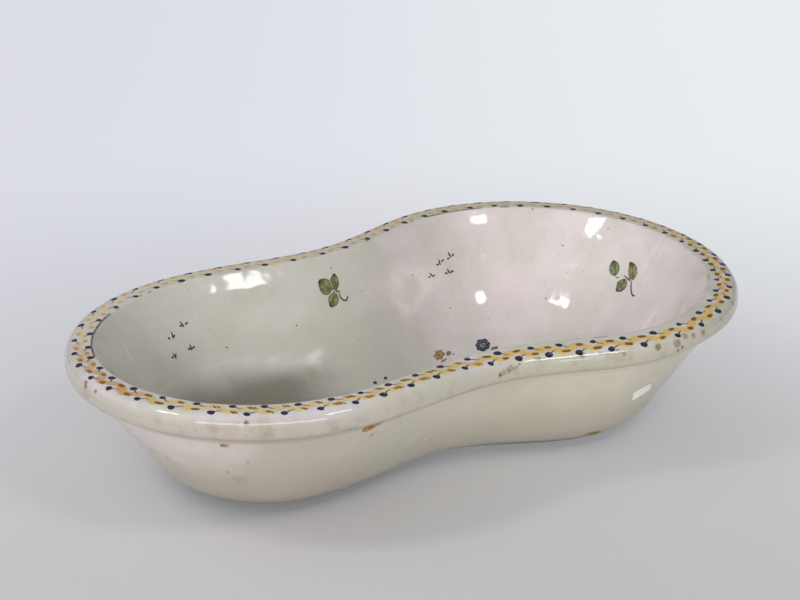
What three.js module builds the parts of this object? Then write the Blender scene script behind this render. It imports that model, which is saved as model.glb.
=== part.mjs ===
// A faience bidet basin: a fiddle-shaped bowl of tin-glazed earthenware with a wide flat rim.
// The clay members that were luted together before the firing are separate meshes here:
// the floor slab, two walls that meet at the waist, the flat rim and the rolled lip under its edge.
// A small blank paper label is pasted on the outside.
//
// Millimetres, +Z up. The origin is on the ground under the middle of the length.
// +X runs along the length towards the larger lobe, the back of the bidet.

import * as THREE from "three";

// Plan of the rim, over its outer edge.
const overallLength = 540;
const backLobeWidth = 328;
const frontLobeWidth = 285;
const waistWidth = 267;
const backEndLength = 150; // from the back tip to the widest place of the back lobe
const frontEndLength = 148; // from the front tip to the widest place of the front lobe
const waistPlace = -15.5; // narrowest place, along X from the middle of the length

const overallHeight = 109;

// Section of the rim.
const rimWidth = 21.5; // flat painted band, from the outer edge to the inner arris
const rimThickness = 8;
const innerArrisRadius = 3;
const lipTopRadius = 7.5;
const lipBottomRadius = 7.5;
const lipDepth = 21; // from the top of the rim to the seat under the lip
const lipOverhang = 11.2; // from the outer edge to the wall

// Walls and floor.
const wallThickness = 10; // at the foot; the inside is steeper, so the wall thickens towards the rim
const floorThickness = 10;
const undersideRadius = 50; // where the wall turns under to the flat base
const coveRadius = 60; // where the wall turns into the floor inside

// How far inside the rim's outer edge the wall's slope would meet the ground.
const footInsetBackEnd = 85;
const footInsetBackSide = 62;
const footInsetWaist = 72.5;
const footInsetFrontSide = 67;
const footInsetFrontEnd = 74.5;
const footBackEndLength = 72; // as on the rim, from the tip to the widest place
const footFrontEndLength = 73.5;

// Paper label on the near side of the back lobe.
const labelLength = 18;
const labelHeight = 12;
const labelThickness = 0.4;
const labelGap = 0.3;
const labelPlace = 127; // along X from the middle of the length
const labelTilt = THREE.MathUtils.degToRad(25); // it was stuck on crooked, its right end high
const labelBelowLip = 42; // down the slope, from the seat to the middle of the label

// How finely the shape is cut up.
const columnsPerEnd = 18;
const columnsPerWaist = 9;
const stepsOnWall = 3;
const stepsOnUnderside = 6;
const stepsOnCove = 5;
const stepsOnLip = 4;
const stepsOnArris = 2;
const stepsOnLabel = 3;
const smallStep = 0.01; // round the plan, to measure how fast it runs there

const glazeIvory = 0xcfc9c2;
const glazeLavender = 0xd8d3da;
const paperWhite = 0xf0efec;

const glaze = (color) => new THREE.MeshStandardMaterial({ color, roughness: 0.18, metalness: 0 });
const paper = new THREE.MeshStandardMaterial({ color: paperWhite, roughness: 0.85, metalness: 0 });

// Plans

// A plan is two quarter ellipses, one at each end, joined on each side by a waist that swings in
// and out again as a cosine. It is symmetric about the X axis.
const rimPlan = {
  back: overallLength / 2,
  front: -overallLength / 2,
  backEnd: backEndLength,
  frontEnd: frontEndLength,
  backHalf: backLobeWidth / 2,
  frontHalf: frontLobeWidth / 2,
  waistHalf: waistWidth / 2,
  waist: waistPlace,
};

// The plan in which the sloping walls would meet the ground.
const footPlan = {
  back: rimPlan.back - footInsetBackEnd,
  front: rimPlan.front + footInsetFrontEnd,
  backEnd: footBackEndLength,
  frontEnd: footFrontEndLength,
  backHalf: rimPlan.backHalf - footInsetBackSide,
  frontHalf: rimPlan.frontHalf - footInsetFrontSide,
  waistHalf: rimPlan.waistHalf - footInsetWaist,
  waist: rimPlan.waist,
};

// One half of a plan has four stretches, numbered by the whole part of t:
// 0 the back end, 1 the waist's back, 2 the waist's front, 3 the front end.
const stretches = 4;

// The point at t, and the direction in which the plan runs there, from the back tip to the front tip.
function alongHalf(plan, t) {
  const stretch = Math.min(Math.floor(t), stretches - 1);
  const part = t - stretch;
  const backWidest = plan.back - plan.backEnd;
  const frontWidest = plan.front + plan.frontEnd;
  const turn = (part * Math.PI) / 2;
  if (stretch === 0) {
    return {
      point: [backWidest + plan.backEnd * Math.cos(turn), plan.backHalf * Math.sin(turn)],
      direction: [-plan.backEnd * Math.sin(turn), plan.backHalf * Math.cos(turn)],
    };
  }
  if (stretch === 3) {
    return {
      point: [frontWidest - plan.frontEnd * Math.sin(turn), plan.frontHalf * Math.cos(turn)],
      direction: [-plan.frontEnd * Math.cos(turn), -plan.frontHalf * Math.sin(turn)],
    };
  }
  const [start, end] = stretch === 1 ? [backWidest, plan.waist] : [plan.waist, frontWidest];
  const [halfAtStart, halfAtEnd] =
    stretch === 1 ? [plan.backHalf, plan.waistHalf] : [plan.waistHalf, plan.frontHalf];
  const swing = (1 - Math.cos(part * Math.PI)) / 2;
  const slope = (Math.sin(part * Math.PI) * Math.PI) / 2;
  return {
    point: [start + (end - start) * part, halfAtStart + (halfAtEnd - halfAtStart) * swing],
    direction: [end - start, (halfAtEnd - halfAtStart) * slope],
  };
}

// The whole way round runs from t = 0 at the back tip, by +Y, to t = 8 at the back tip again.
function onPlan(plan, t) {
  const mirrored = t > stretches;
  const { point, direction } = alongHalf(plan, mirrored ? 2 * stretches - t : t);
  const size = Math.hypot(direction[0], direction[1]);
  const side = mirrored ? -1 : 1;
  return {
    point: new THREE.Vector2(point[0], side * point[1]),
    outward: new THREE.Vector2(direction[1] / size, (-side * direction[0]) / size),
  };
}

// A column is the upright cut through rim and wall at one place round the plan. Its slope runs
// from the wall's root, under the lip, to the place where the wall would meet the ground.
function columnAt(t) {
  const rim = onPlan(rimPlan, t);
  const root = rim.point.clone().addScaledVector(rim.outward, -lipOverhang);
  const foot = onPlan(footPlan, t).point;
  const run = root.distanceTo(foot);
  return { rim, root, run, inward: foot.clone().sub(root).divideScalar(run) };
}

const stepsPerStretch = [columnsPerEnd, columnsPerWaist, columnsPerWaist, columnsPerEnd];
const halfColumns = stepsPerStretch.flatMap((steps, stretch) =>
  Array.from({ length: steps }, (_, step) => stretch + step / steps)
);
const columnPlaces = [...halfColumns, stretches, ...halfColumns.slice(1).reverse().map((t) => 2 * stretches - t)];
const columns = columnPlaces.map(columnAt);
const waistColumn = columnsPerEnd + columnsPerWaist;

// Heights

const rimTop = overallHeight;
const rimUnderside = rimTop - rimThickness;
const seatHeight = rimTop - lipDepth;

// Points of one column

// A point of the rim, by its distance in from the outer edge.
function rimPoint(column, inset, height) {
  const place = column.rim.point.clone().addScaledVector(column.rim.outward, -inset);
  return new THREE.Vector3(place.x, place.y, height);
}

// A point of the wall, by its distance in from the wall's root.
function wallPoint(column, distance, height) {
  const place = column.root.clone().addScaledVector(column.inward, distance);
  return new THREE.Vector3(place.x, place.y, height);
}

// The two slopes of the wall in a column, as distances in from the root at each height. The outer one
// runs straight from the seat to the ground. The inner one runs straight from the rim's inner edge to a
// foot that is one wall's thickness, measured across, inside the outer slope.
function wallSlopes(column) {
  const steepness = Math.atan2(seatHeight, column.run);
  const outerAt = (height) => ((seatHeight - height) / seatHeight) * column.run;
  const innerTop = rimWidth - lipOverhang;
  const innerFoot = outerAt(floorThickness) + wallThickness / Math.sin(steepness);
  const innerRise = rimUnderside - floorThickness;
  const innerAt = (height) => innerTop + ((rimUnderside - height) / innerRise) * (innerFoot - innerTop);
  return { outerAt, innerAt, steepness, innerSteepness: Math.atan2(innerRise, innerFoot - innerTop) };
}

// The section of the wall in a column: its two slopes, and an arc that turns each level at its foot,
// under the basin outside and into the floor inside.
function wallSection(column) {
  const { outerAt, innerAt, steepness, innerSteepness } = wallSlopes(column);
  // Points of an arc between a slope and a level line at the given height, from the slope down.
  const turn = (slopeAt, slopeAngle, radius, level, steps) =>
    Array.from({ length: steps + 1 }, (_, step) => {
      const angle = slopeAngle * (1 - step / steps);
      const corner = slopeAt(level) + radius * Math.tan(slopeAngle / 2);
      return [corner - radius * Math.sin(angle), level + radius * (1 - Math.cos(angle))];
    });
  const underside = turn(outerAt, steepness, undersideRadius, 0, stepsOnUnderside);
  const cove = turn(innerAt, innerSteepness, coveRadius, floorThickness, stepsOnCove);
  // Points of a straight slope between a height and the start of an arc.
  const straight = (slopeAt, first, last) =>
    Array.from({ length: stepsOnWall }, (_, step) => {
      const height = first + ((last - first) * step) / stepsOnWall;
      return [slopeAt(height), height];
    });
  const outer = [...straight(outerAt, seatHeight, underside[0][1]), ...underside];
  const inner = [...straight(innerAt, rimUnderside, cove[0][1]).slice(1), ...cove];
  return { outer, inner };
}

// Points of a quarter round in the rim's section, between two angles, as inset and height.
function quarterRound(centreInset, centreHeight, radius, from, to, steps) {
  return Array.from({ length: steps + 1 }, (_, step) => {
    const angle = from + ((to - from) * step) / steps;
    return [centreInset + radius * Math.cos(angle), centreHeight + radius * Math.sin(angle)];
  });
}

// Sections, each a closed run of points in the order that keeps the solid on its left

function rimSection(column) {
  const arris = quarterRound(
    rimWidth - innerArrisRadius, rimTop - innerArrisRadius, innerArrisRadius, 0, Math.PI / 2, stepsOnArris
  );
  const edge = quarterRound(
    lipTopRadius, rimTop - lipTopRadius, lipTopRadius, Math.PI / 2, Math.PI, stepsOnLip
  );
  const points = [
    [0, rimUnderside],
    [lipOverhang, rimUnderside],
    [rimWidth, rimUnderside],
    ...arris,
    ...edge,
  ];
  return points.map(([inset, height]) => rimPoint(column, inset, height));
}

function lipSection(column) {
  const roll = quarterRound(
    lipBottomRadius, seatHeight + lipBottomRadius, lipBottomRadius, Math.PI, 1.5 * Math.PI, stepsOnLip
  );
  const points = [[0, rimUnderside], ...roll, [lipOverhang, seatHeight], [lipOverhang, rimUnderside]];
  return points.map(([inset, height]) => rimPoint(column, inset, height));
}

function wallRun(column) {
  const { outer, inner } = wallSection(column);
  const slope = (points) => points.map(([distance, height]) => wallPoint(column, distance, height));
  return [
    rimPoint(column, lipOverhang, rimUnderside),
    ...slope(outer),
    ...slope(inner).reverse(),
    rimPoint(column, rimWidth, rimUnderside),
  ];
}

// Solids

// A mesh from points and triangles.
function meshOf(name, material, points, triangles) {
  const geometry = new THREE.BufferGeometry();
  const numbers = points.flatMap((point) => [point.x, point.y, point.z]);
  geometry.setAttribute("position", new THREE.Float32BufferAttribute(numbers, 3));
  geometry.setIndex(triangles.flat());
  geometry.computeVertexNormals();
  const mesh = new THREE.Mesh(geometry, material);
  mesh.name = name;
  return mesh;
}

// Triangles between sections that follow each other round the plan.
function bandTriangles(sectionCount, pointCount, closed) {
  const triangles = [];
  const joints = closed ? sectionCount : sectionCount - 1;
  for (let column = 0; column < joints; column += 1) {
    const here = column * pointCount;
    const there = ((column + 1) % sectionCount) * pointCount;
    for (let point = 0; point < pointCount; point += 1) {
      const next = (point + 1) % pointCount;
      triangles.push([here + point, here + next, there + next]);
      triangles.push([here + point, there + next, there + point]);
    }
  }
  return triangles;
}

// A member that goes all the way round.
function ringMember(name, material, sectionOf) {
  const sections = columns.map(sectionOf);
  const triangles = bandTriangles(sections.length, sections[0].length, true);
  return meshOf(name, material, sections.flat(), triangles);
}

// A wall from one side of the waist to the other, with a flat joint face at each end.
function wallMember(name, material, run) {
  const sections = run.map(wallRun);
  const count = sections[0].length;
  const triangles = bandTriangles(sections.length, count, false);
  const outline = sections[0].map((point) => new THREE.Vector2(Math.abs(point.y), point.z));
  const cap = THREE.ShapeUtils.triangulateShape(outline, []);
  const last = (sections.length - 1) * count;
  for (const [a, b, c] of cap) {
    triangles.push([a, b, c], [last + a, last + c, last + b]);
  }
  return meshOf(name, material, sections.flat(), triangles);
}

// The floor: a slab between the last point of the underside's arc and the last point of the cove.
function floorMember(name, material) {
  const lower = columns.map((column) => {
    const [distance, height] = wallSection(column).outer.at(-1);
    return wallPoint(column, distance, height);
  });
  const upper = columns.map((column) => {
    const [distance, height] = wallSection(column).inner.at(-1);
    return wallPoint(column, distance, height);
  });
  const count = columns.length;
  const triangles = [];
  for (let column = 0; column < count; column += 1) {
    const next = (column + 1) % count;
    triangles.push([column, next, count + next], [column, count + next, count + column]);
  }
  // Each face of the slab is a ladder of rungs across the length, from the back tip to the front tip.
  for (let rung = 0; rung < count / 2; rung += 1) {
    const left = rung;
    const nextLeft = rung + 1;
    const right = (count - rung) % count;
    const nextRight = count - rung - 1;
    const ladder = [[left, right, nextLeft], [right, nextRight, nextLeft]];
    for (const [a, b, c] of ladder) {
      if (a !== b && b !== c && a !== c) {
        triangles.push([a, b, c], [count + a, count + c, count + b]);
      }
    }
  }
  return meshOf(name, material, [...lower, ...upper], triangles);
}

// The place round the plan, on the near side, of a point at x along the length of the back lobe.
function nearSidePlace(x) {
  const backWidest = rimPlan.back - rimPlan.backEnd;
  if (x < backWidest) {
    return 2 * stretches - 1 - (backWidest - x) / (backWidest - rimPlan.waist);
  }
  return 2 * stretches - Math.acos((x - backWidest) / rimPlan.backEnd) / (Math.PI / 2);
}

// The label lies on the outside of the sloping wall, bent to it along the length, and tilted on it.
function labelMember(name, material) {
  const middle = nearSidePlace(labelPlace);
  const nearby = onPlan(rimPlan, middle + smallStep).point;
  const perPlace = onPlan(rimPlan, middle).point.distanceTo(nearby) / smallStep;
  const place = (right, up, lift) => {
    const along = right * Math.cos(labelTilt) - up * Math.sin(labelTilt);
    const down = labelBelowLip - right * Math.sin(labelTilt) - up * Math.cos(labelTilt);
    const column = columnAt(middle + along / perPlace);
    const steepness = Math.atan2(seatHeight, column.run);
    const outward = column.inward.clone().multiplyScalar(-Math.sin(steepness));
    const normal = new THREE.Vector3(outward.x, outward.y, -Math.cos(steepness));
    const distance = down * Math.cos(steepness);
    return wallPoint(column, distance, seatHeight - down * Math.sin(steepness)).addScaledVector(normal, lift);
  };
  const rows = [];
  for (let step = 0; step <= stepsOnLabel; step += 1) {
    const right = labelLength * (step / stepsOnLabel - 0.5);
    const half = labelHeight / 2;
    const outside = labelGap + labelThickness;
    rows.push([
      place(right, half, outside), place(right, -half, outside),
      place(right, -half, labelGap), place(right, half, labelGap)
    ]);
  }
  const triangles = bandTriangles(rows.length, 4, false);
  const last = (rows.length - 1) * 4;
  triangles.push([0, 2, 1], [0, 3, 2]);
  triangles.push([last, last + 1, last + 2], [last, last + 2, last + 3]);
  return meshOf(name, material, rows.flat(), triangles);
}

// The basin

const backRun = [...columns.slice(-waistColumn), ...columns.slice(0, waistColumn + 1)];
const frontRun = columns.slice(waistColumn, columns.length - waistColumn + 1);

const basin = new THREE.Group();
basin.add(
  floorMember("basin_floor", glaze(glazeIvory)),
  wallMember("back_wall", glaze(glazeIvory), backRun),
  wallMember("front_wall", glaze(glazeIvory), frontRun),
  ringMember("flat_rim", glaze(glazeLavender), rimSection),
  ringMember("rolled_lip", glaze(glazeIvory), lipSection),
  labelMember("paper_label", paper)
);

export default basin;
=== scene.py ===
# %% [markdown]
# # A painted faience bidet basin
#
# The real thing is one body of red-buff earthenware, pressed and luted from slabs, dipped in a white tin
# glaze, painted with a wavy border and small sprigs, and fired again. A rigid model already holds its
# members at their real size. This lesson dresses that model: it makes the smooth glazed skin, the
# brushwork, the chips, the paper label, the light and the camera. Everything is worked out in millimetres
# and turned to metres at the last moment.

# %% The frame
import math
import bmesh
import bpy
import numpy as np
from mathutils import Matrix, Vector


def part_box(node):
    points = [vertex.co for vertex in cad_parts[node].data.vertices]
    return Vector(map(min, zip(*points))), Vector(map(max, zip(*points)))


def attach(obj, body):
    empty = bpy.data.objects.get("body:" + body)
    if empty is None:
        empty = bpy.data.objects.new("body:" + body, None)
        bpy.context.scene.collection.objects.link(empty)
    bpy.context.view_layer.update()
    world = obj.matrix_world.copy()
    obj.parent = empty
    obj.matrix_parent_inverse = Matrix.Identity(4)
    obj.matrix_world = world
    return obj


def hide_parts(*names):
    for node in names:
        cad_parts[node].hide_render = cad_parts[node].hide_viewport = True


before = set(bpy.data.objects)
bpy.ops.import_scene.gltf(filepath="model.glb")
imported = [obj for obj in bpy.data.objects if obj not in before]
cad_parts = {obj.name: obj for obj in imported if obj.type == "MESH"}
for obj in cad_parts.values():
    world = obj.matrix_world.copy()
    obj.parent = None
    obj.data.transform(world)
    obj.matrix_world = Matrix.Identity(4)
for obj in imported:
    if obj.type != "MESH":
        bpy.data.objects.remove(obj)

for name in ("Cube", "Light", "Camera"):
    if name in bpy.data.objects:
        bpy.data.objects.remove(bpy.data.objects[name])
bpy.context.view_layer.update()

# %% [markdown]
# ## Sizes
#
# Most sizes can be read back from the boxes of the model's nodes: length, widths, height, the seat under
# the lip and the thickness of the floor. What a box can't tell, such as the width at the waist or a
# rounding, is named here in millimetres. Nothing below holds a bare size of its own, so the skin keeps
# fitting the model.

# %% Sizes read from the frame
MM = 0.001


def box_mm(node):
    """Lowest and highest corner of one of the model's nodes, in millimetres."""
    low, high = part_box(node)
    return np.array(low) / MM, np.array(high) / MM


rim_low, rim_high = box_mm("flat_rim")
back_low, back_high = box_mm("back_wall")
TOP = rim_high[2]
SEAT = box_mm("rolled_lip")[0][2]
FLOOR = box_mm("basin_floor")[1][2]
BACK = rim_high[0]
FRONT = rim_low[0]
BACK_HALF = rim_high[1]
OVERHANG = rim_high[0] - back_high[0]
FRONT_HALF = box_mm("front_wall")[1][1] + OVERHANG
WAIST_AT = back_low[0]
print(f"top {TOP:.1f}, seat {SEAT:.1f}, floor {FLOOR:.1f}, overhang {OVERHANG:.1f}, waist at {WAIST_AT:.1f}")

# %% Sizes that a box can't tell, in millimetres
WAIST_HALF = 133.5
BACK_END = 150.0  # from the back tip to the widest place of that lobe
FRONT_END = 148.0
FOOT_BACK_END = 72.0
FOOT_FRONT_END = 73.5
FOOT_INSET_BACK = 85.0  # how far inside the rim the wall's slope would meet the ground
FOOT_INSET_BACK_SIDE = 62.0
FOOT_INSET_WAIST = 72.5
FOOT_INSET_FRONT_SIDE = 67.0
FOOT_INSET_FRONT = 74.5
RIM_WIDTH = 21.5
WALL = 9.5
UNDERSIDE_RADIUS = 50.0
CREASE_RADIUS = 3.0
LIP_BOTTOM_RADIUS = 8.5
LIP_TOP_RADIUS = 8.5
ARRIS_RADIUS = 3.0
ARRIS_SLOPE = math.radians(54)  # how steeply the clay rolls away just inside the arris
ROLL_RUN = 10.0  # how far in the roll reaches before the wall runs straight
ROLL_RADIUS = 42.0
COVE_RADIUS = 84.0
SPINE_SHARE = 0.55  # the line along the middle of the floor, as a share of the foot's length

# %% [markdown]
# ## The plan
#
# Seen from above the basin is a fiddle: a wide lobe at the back, a narrower one in front and a waist
# between them. It could be drawn as a spline through points, but a formula keeps it fair: a quarter
# ellipse at each end, and two cosine swings that lead into the waist and out again. One number, t, runs
# round it from 0 at the back tip, past 4 at the front tip, to 8 at the back tip again. The far side,
# towards +Y, comes first.

# %% The plan
ROUND = 8.0
rim_plan = dict(
    back=BACK, front=FRONT, back_end=BACK_END, front_end=FRONT_END, back_half=BACK_HALF,
    front_half=FRONT_HALF, waist_half=WAIST_HALF,
)
foot_plan = dict(
    back=BACK - FOOT_INSET_BACK, front=FRONT + FOOT_INSET_FRONT, back_end=FOOT_BACK_END,
    front_end=FOOT_FRONT_END, back_half=BACK_HALF - FOOT_INSET_BACK_SIDE,
    front_half=FRONT_HALF - FOOT_INSET_FRONT_SIDE, waist_half=WAIST_HALF - FOOT_INSET_WAIST,
)


def on_plan(plan, t):
    """Points and outward directions of a plan, two arrays (n, 2).

    With p the part of the stretch that is done, the four stretches of one side are: a quarter ellipse
    x = widest + end cos(p pi/2), y = half sin(p pi/2); a swing y = half + change (1 - cos(p pi)) / 2 while
    x runs evenly to the waist; the same kind of swing away from it; and the other quarter ellipse. The
    outward direction is the direction of travel turned a quarter to the right.
    """
    t = np.mod(t, ROUND)
    mirrored = t > ROUND / 2
    half = np.where(mirrored, ROUND - t, t)
    stretch = np.minimum(half.astype(int), 3)
    part = half - stretch
    cos, sin = np.cos(part * np.pi / 2), np.sin(part * np.pi / 2)
    swing, slope = (1 - np.cos(part * np.pi)) / 2, np.sin(part * np.pi) * np.pi / 2
    back_widest = plan["back"] - plan["back_end"]
    front_widest = plan["front"] + plan["front_end"]
    to_waist, from_waist = WAIST_AT - back_widest, front_widest - WAIST_AT
    draw_in = plan["waist_half"] - plan["back_half"]
    draw_out = plan["front_half"] - plan["waist_half"]
    x = np.choose(stretch, [
        back_widest + plan["back_end"] * cos, back_widest + to_waist * part,
        WAIST_AT + from_waist * part, front_widest - plan["front_end"] * sin,
    ])
    y = np.choose(stretch, [
        plan["back_half"] * sin, plan["back_half"] + draw_in * swing,
        plan["waist_half"] + draw_out * swing, plan["front_half"] * cos,
    ])
    along_x = np.choose(stretch, [-plan["back_end"] * sin, to_waist, from_waist, -plan["front_end"] * cos])
    along_y = np.choose(stretch, [
        plan["back_half"] * cos, draw_in * slope, draw_out * slope, -plan["front_half"] * sin,
    ])
    side = np.where(mirrored, -1.0, 1.0)
    size = np.hypot(along_x, along_y)
    return np.column_stack([x, side * y]), np.column_stack([along_y, -side * along_x]) / size[:, None]


# %% Distances along the painted band
BAND_INSET = 11.0  # the middle of the flat band, in from the outer edge
TABLE_STEPS = 8000
t_table = np.linspace(0, ROUND, TABLE_STEPS + 1)
edge_points, edge_outward = on_plan(rim_plan, t_table)
band_points = edge_points - BAND_INSET * edge_outward
band_table = np.concatenate([[0], np.cumsum(np.linalg.norm(np.diff(band_points, axis=0), axis=1))])
BAND_LENGTH = band_table[-1]


def t_at(distance):
    """The place t that lies a distance in millimetres round the middle of the band from the back tip."""
    return np.interp(np.mod(distance, BAND_LENGTH), band_table, t_table)


print(f"round the middle of the band: {BAND_LENGTH:.0f} mm")

# %% [markdown]
# ## The section
#
# Cut across anywhere, the clay shows the same profile: flat base, a round turn into the sloping wall, the
# roll of the lip, the flat band, a tight arris, and down the inside in a long S that rolls over at the
# top and sweeps into the floor below. That S is what shapes the highlights. A Bevel modifier could round
# such corners, but here each corner has its own radius and each column its own slope, so the roundings
# are worked out for all columns at once. The hand shows too: edges wander by half a millimetre, and the
# skin is never dead flat.

# %% Rounded corners
TINY = 1e-12


def unit(vectors):
    """The vectors at length one."""
    return vectors / np.maximum(np.linalg.norm(vectors, axis=-1, keepdims=True), TINY)


def rounded(corners, radii, arc_steps, straight_steps):
    """Rows of points along lines through the corners (k, n, 3), each inner corner cut by an arc.

    Where the two sides of a corner enclose the angle 2h, an arc of radius r starts r / tan(h) from the
    corner, and its centre lies r / sin(h) away on the line that halves the angle. The points on the arc are
    the directions from the centre, blended by the sine rule so that they turn evenly.
    """
    rows = []
    leave = corners[0]
    for k, (radius, arcs, straights) in enumerate(zip(radii, arc_steps, straight_steps), start=1):
        back, ahead = unit(corners[k - 1] - corners[k]), unit(corners[k + 1] - corners[k])
        half = np.arccos(np.sum(back * ahead, axis=-1, keepdims=True)) / 2
        start, end = corners[k] + back * radius / np.tan(half), corners[k] + ahead * radius / np.tan(half)
        centre = corners[k] + unit(back + ahead) * radius / np.sin(half)
        turn = np.pi - 2 * half
        share = np.linspace(0, 1, straights, endpoint=False)[:, None, None]
        rows.append(leave + (start - leave) * share)
        share = np.linspace(0, 1, arcs, endpoint=False)[:, None, None]
        first, last = np.sin((1 - share) * turn), np.sin(share * turn)
        rows.append(centre + (first * (start - centre) + last * (end - centre)) / np.sin(turn))
        leave = end
    share = np.linspace(0, 1, straight_steps[-1] + 1)[:, None, None]
    rows.append(leave + (corners[-1] - leave) * share)
    return np.concatenate(rows)


# %% The hand of the maker
def hand(t, seed, lowest, highest):
    """A slow wander round the plan, from 0 to 1: a few cosines of whole orders, random in size and phase."""
    random = np.random.default_rng(seed)
    orders = np.arange(lowest, highest + 1)
    sizes = random.uniform(0.3, 1.0, len(orders))
    phases = random.uniform(0, 2 * np.pi, len(orders))
    waves = np.cos(np.multiply.outer(t, orders) * 2 * np.pi / ROUND + phases) @ sizes
    return 0.5 + 0.5 * waves / sizes.sum()


EDGE_WANDER = 0.45  # how far the outer edge wanders in
ARRIS_WANDER = 1.4
TOP_WANDER = 0.5  # how far the flat band dips
ARRIS_DIP = 0.25  # and how much further its inner edge does
# On the near side of the back lobe the rim slumped in the kiln. Each bell: height, middle, half width, power.
WIDER = (3.6, 7.3, 0.5, 2)  # the band is wider here
DROOP = (3.2, 6.6, 0.72, 6)  # its outer edge hangs lower
SHALLOW = (4.2, 7.22, 0.26, 2)  # and the lip reaches less far down
LIP_TIGHTENS = 0.7  # how much smaller its lower rounding gets for each millimetre
BORDER_SHIFT = (1.8, 6.6, 0.72, 6)  # the painter kept the border near the edge


def bell(t, height, middle, half_width, power):
    """A bell along the plan: height times e to the minus (distance / half width) to the power."""
    return height * np.exp(-np.abs((np.mod(t, ROUND) - middle) / half_width) ** power)

# %% The whole section
def section(t):
    """The profile at each t, as rows from the base's middle, up outside, and in to the floor's middle."""
    edge, outward = on_plan(rim_plan, t)
    edge = edge - outward * EDGE_WANDER * hand(t, seed=3, lowest=3, highest=9)[:, None]
    root = edge - outward * OVERHANG
    foot = on_plan(foot_plan, t)[0]
    run = np.linalg.norm(foot - root, axis=1)
    inward = (foot - root) / run[:, None]
    across = WALL / np.sin(np.arctan2(SEAT, run))
    top = TOP - TOP_WANDER * hand(t, seed=5, lowest=2, highest=7)
    arris_top = top - ARRIS_DIP * hand(t, seed=8, lowest=3, highest=8)
    width = RIM_WIDTH + ARRIS_WANDER * (hand(t, seed=7, lowest=4, highest=14) - 0.5) + bell(t, *WIDER)
    seat = SEAT + bell(t, *SHALLOW)
    arris = edge - outward * width[:, None]
    shoulder = arris + inward * ROLL_RUN
    inner_foot = root + inward * (run * (SEAT - FLOOR) / SEAT + across)[:, None]
    spine = foot * np.array([SPINE_SHARE, 0.0])

    def at(place, height):
        return np.column_stack([place, np.broadcast_to(height, len(t))])

    corners = np.stack([
        at(spine, 0), at(foot, 0), at(root, seat), at(edge, seat), at(edge, top - bell(t, *DROOP)),
        at(arris, arris_top), at(shoulder, TOP - ROLL_RUN * math.tan(ARRIS_SLOPE)),
        at(inner_foot, FLOOR), at(spine, FLOOR),
    ])
    lip_bottom = (LIP_BOTTOM_RADIUS - LIP_TIGHTENS * bell(t, *SHALLOW))[:, None]
    radii = (
        UNDERSIDE_RADIUS, CREASE_RADIUS, lip_bottom, LIP_TOP_RADIUS, ARRIS_RADIUS, ROLL_RADIUS, COVE_RADIUS,
    )
    return rounded(corners, radii, ARC_STEPS, STRAIGHT_STEPS)


ARC_STEPS = (14, 5, 10, 10, 5, 8, 26)
STRAIGHT_STEPS = (14, 30, 1, 4, 10, 2, 12, 8)
row_starts = np.concatenate([[0], np.cumsum(np.add(ARC_STEPS, STRAIGHT_STEPS[:-1]))])
CREASE_ROW = row_starts[1] + STRAIGHT_STEPS[1] + ARC_STEPS[1] // 2
LEDGE_ROW = row_starts[4] + STRAIGHT_STEPS[4] // 2
ARRIS_ROW = row_starts[4] + STRAIGHT_STEPS[4] + ARC_STEPS[4] // 2
SEAM_ROW = row_starts[5] + STRAIGHT_STEPS[5] // 2
INNER_ROW = row_starts[5]
LAST_ROW = row_starts[-1] + STRAIGHT_STEPS[-1]
print(f"rows: crease {CREASE_ROW}, middle of the band {LEDGE_ROW}, inner seam {SEAM_ROW}, last {LAST_ROW}")

# %% [markdown]
# ## Relief
#
# The clay was smoothed by hand and the glaze ran over it, so highlights break up at their edges. Three
# sums of sine waves in random directions give that: a lazy unevenness of the wall, the run of the glaze,
# and a fine ripple. Each only ever sinks the surface, so the skin stays inside the model's box. Where a
# piece was knocked off, the surface sinks further. A knock is a place and a reach in millimetres; its
# edge is broken up by the same kind of waves.

# %% Relief
def ripple(points, seed, wavelength, waves):
    """From 0 to 1 at each point: the mean of sines in random directions, of about the given wavelength."""
    random = np.random.default_rng(seed)
    directions = unit(random.normal(size=(waves, 3)))
    numbers = 2 * np.pi / (wavelength * random.uniform(0.7, 1.4, waves))
    phases = random.uniform(0, 2 * np.pi, waves)
    total = np.zeros(points.shape[:-1])
    for direction, number, phase in zip(directions, numbers, phases):
        total += np.sin(points @ direction * number + phase)
    return 0.5 + 0.5 * total / waves


# Each knock: place x, y, z, reach and depth, all in millimetres.
KNOCKS = (
    (-114.0, -126.5, 81.5, 5.0, 0.7),
    (-108.0, -129.0, 85.0, 6.4, 0.9),
    (-100.5, -131.0, 87.0, 4.4, 0.6),
    (-93.5, -131.5, 88.0, 3.0, 0.3),
    (-208.3, -93.3, 78.6, 2.4, 0.4),
    (-206.5, -96.5, 79.6, 1.6, 0.3),
    (104.0, -102.5, 10.8, 3.4, 0.5),
    (99.5, -103.4, 11.6, 4.4, 0.6),
    (94.0, -104.2, 12.6, 2.8, 0.4),
)
KNOCK_EDGE = 0.55  # how much of its reach the edge of a knock wanders
KNOCK_SLOPE = 1.2
FAR_OUTSIDE = -9.0
UNEVEN = ((0.40, 11, 95.0, 7), (0.12, 12, 30.0, 11), (0.035, 13, 11.0, 13))  # depth, seed, wavelength, waves


def nearness(points, spot, reach):
    """1 at a spot, 0 at its reach and less beyond: 1 minus the distance over the reach."""
    return 1 - np.linalg.norm(points - np.array(spot), axis=-1) / reach


def knocked(points):
    """How far inside a knock each point lies, as a share of the knock's reach: above 0 it is broken away."""
    wander = (ripple(points, seed=21, wavelength=3.4, waves=9) - 0.5) * 2 * KNOCK_EDGE
    inside = np.full(points.shape[:-1], FAR_OUTSIDE)
    for *spot, reach, _ in KNOCKS:
        inside = np.maximum(inside, nearness(points, spot, reach) + wander)
    return inside


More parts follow.
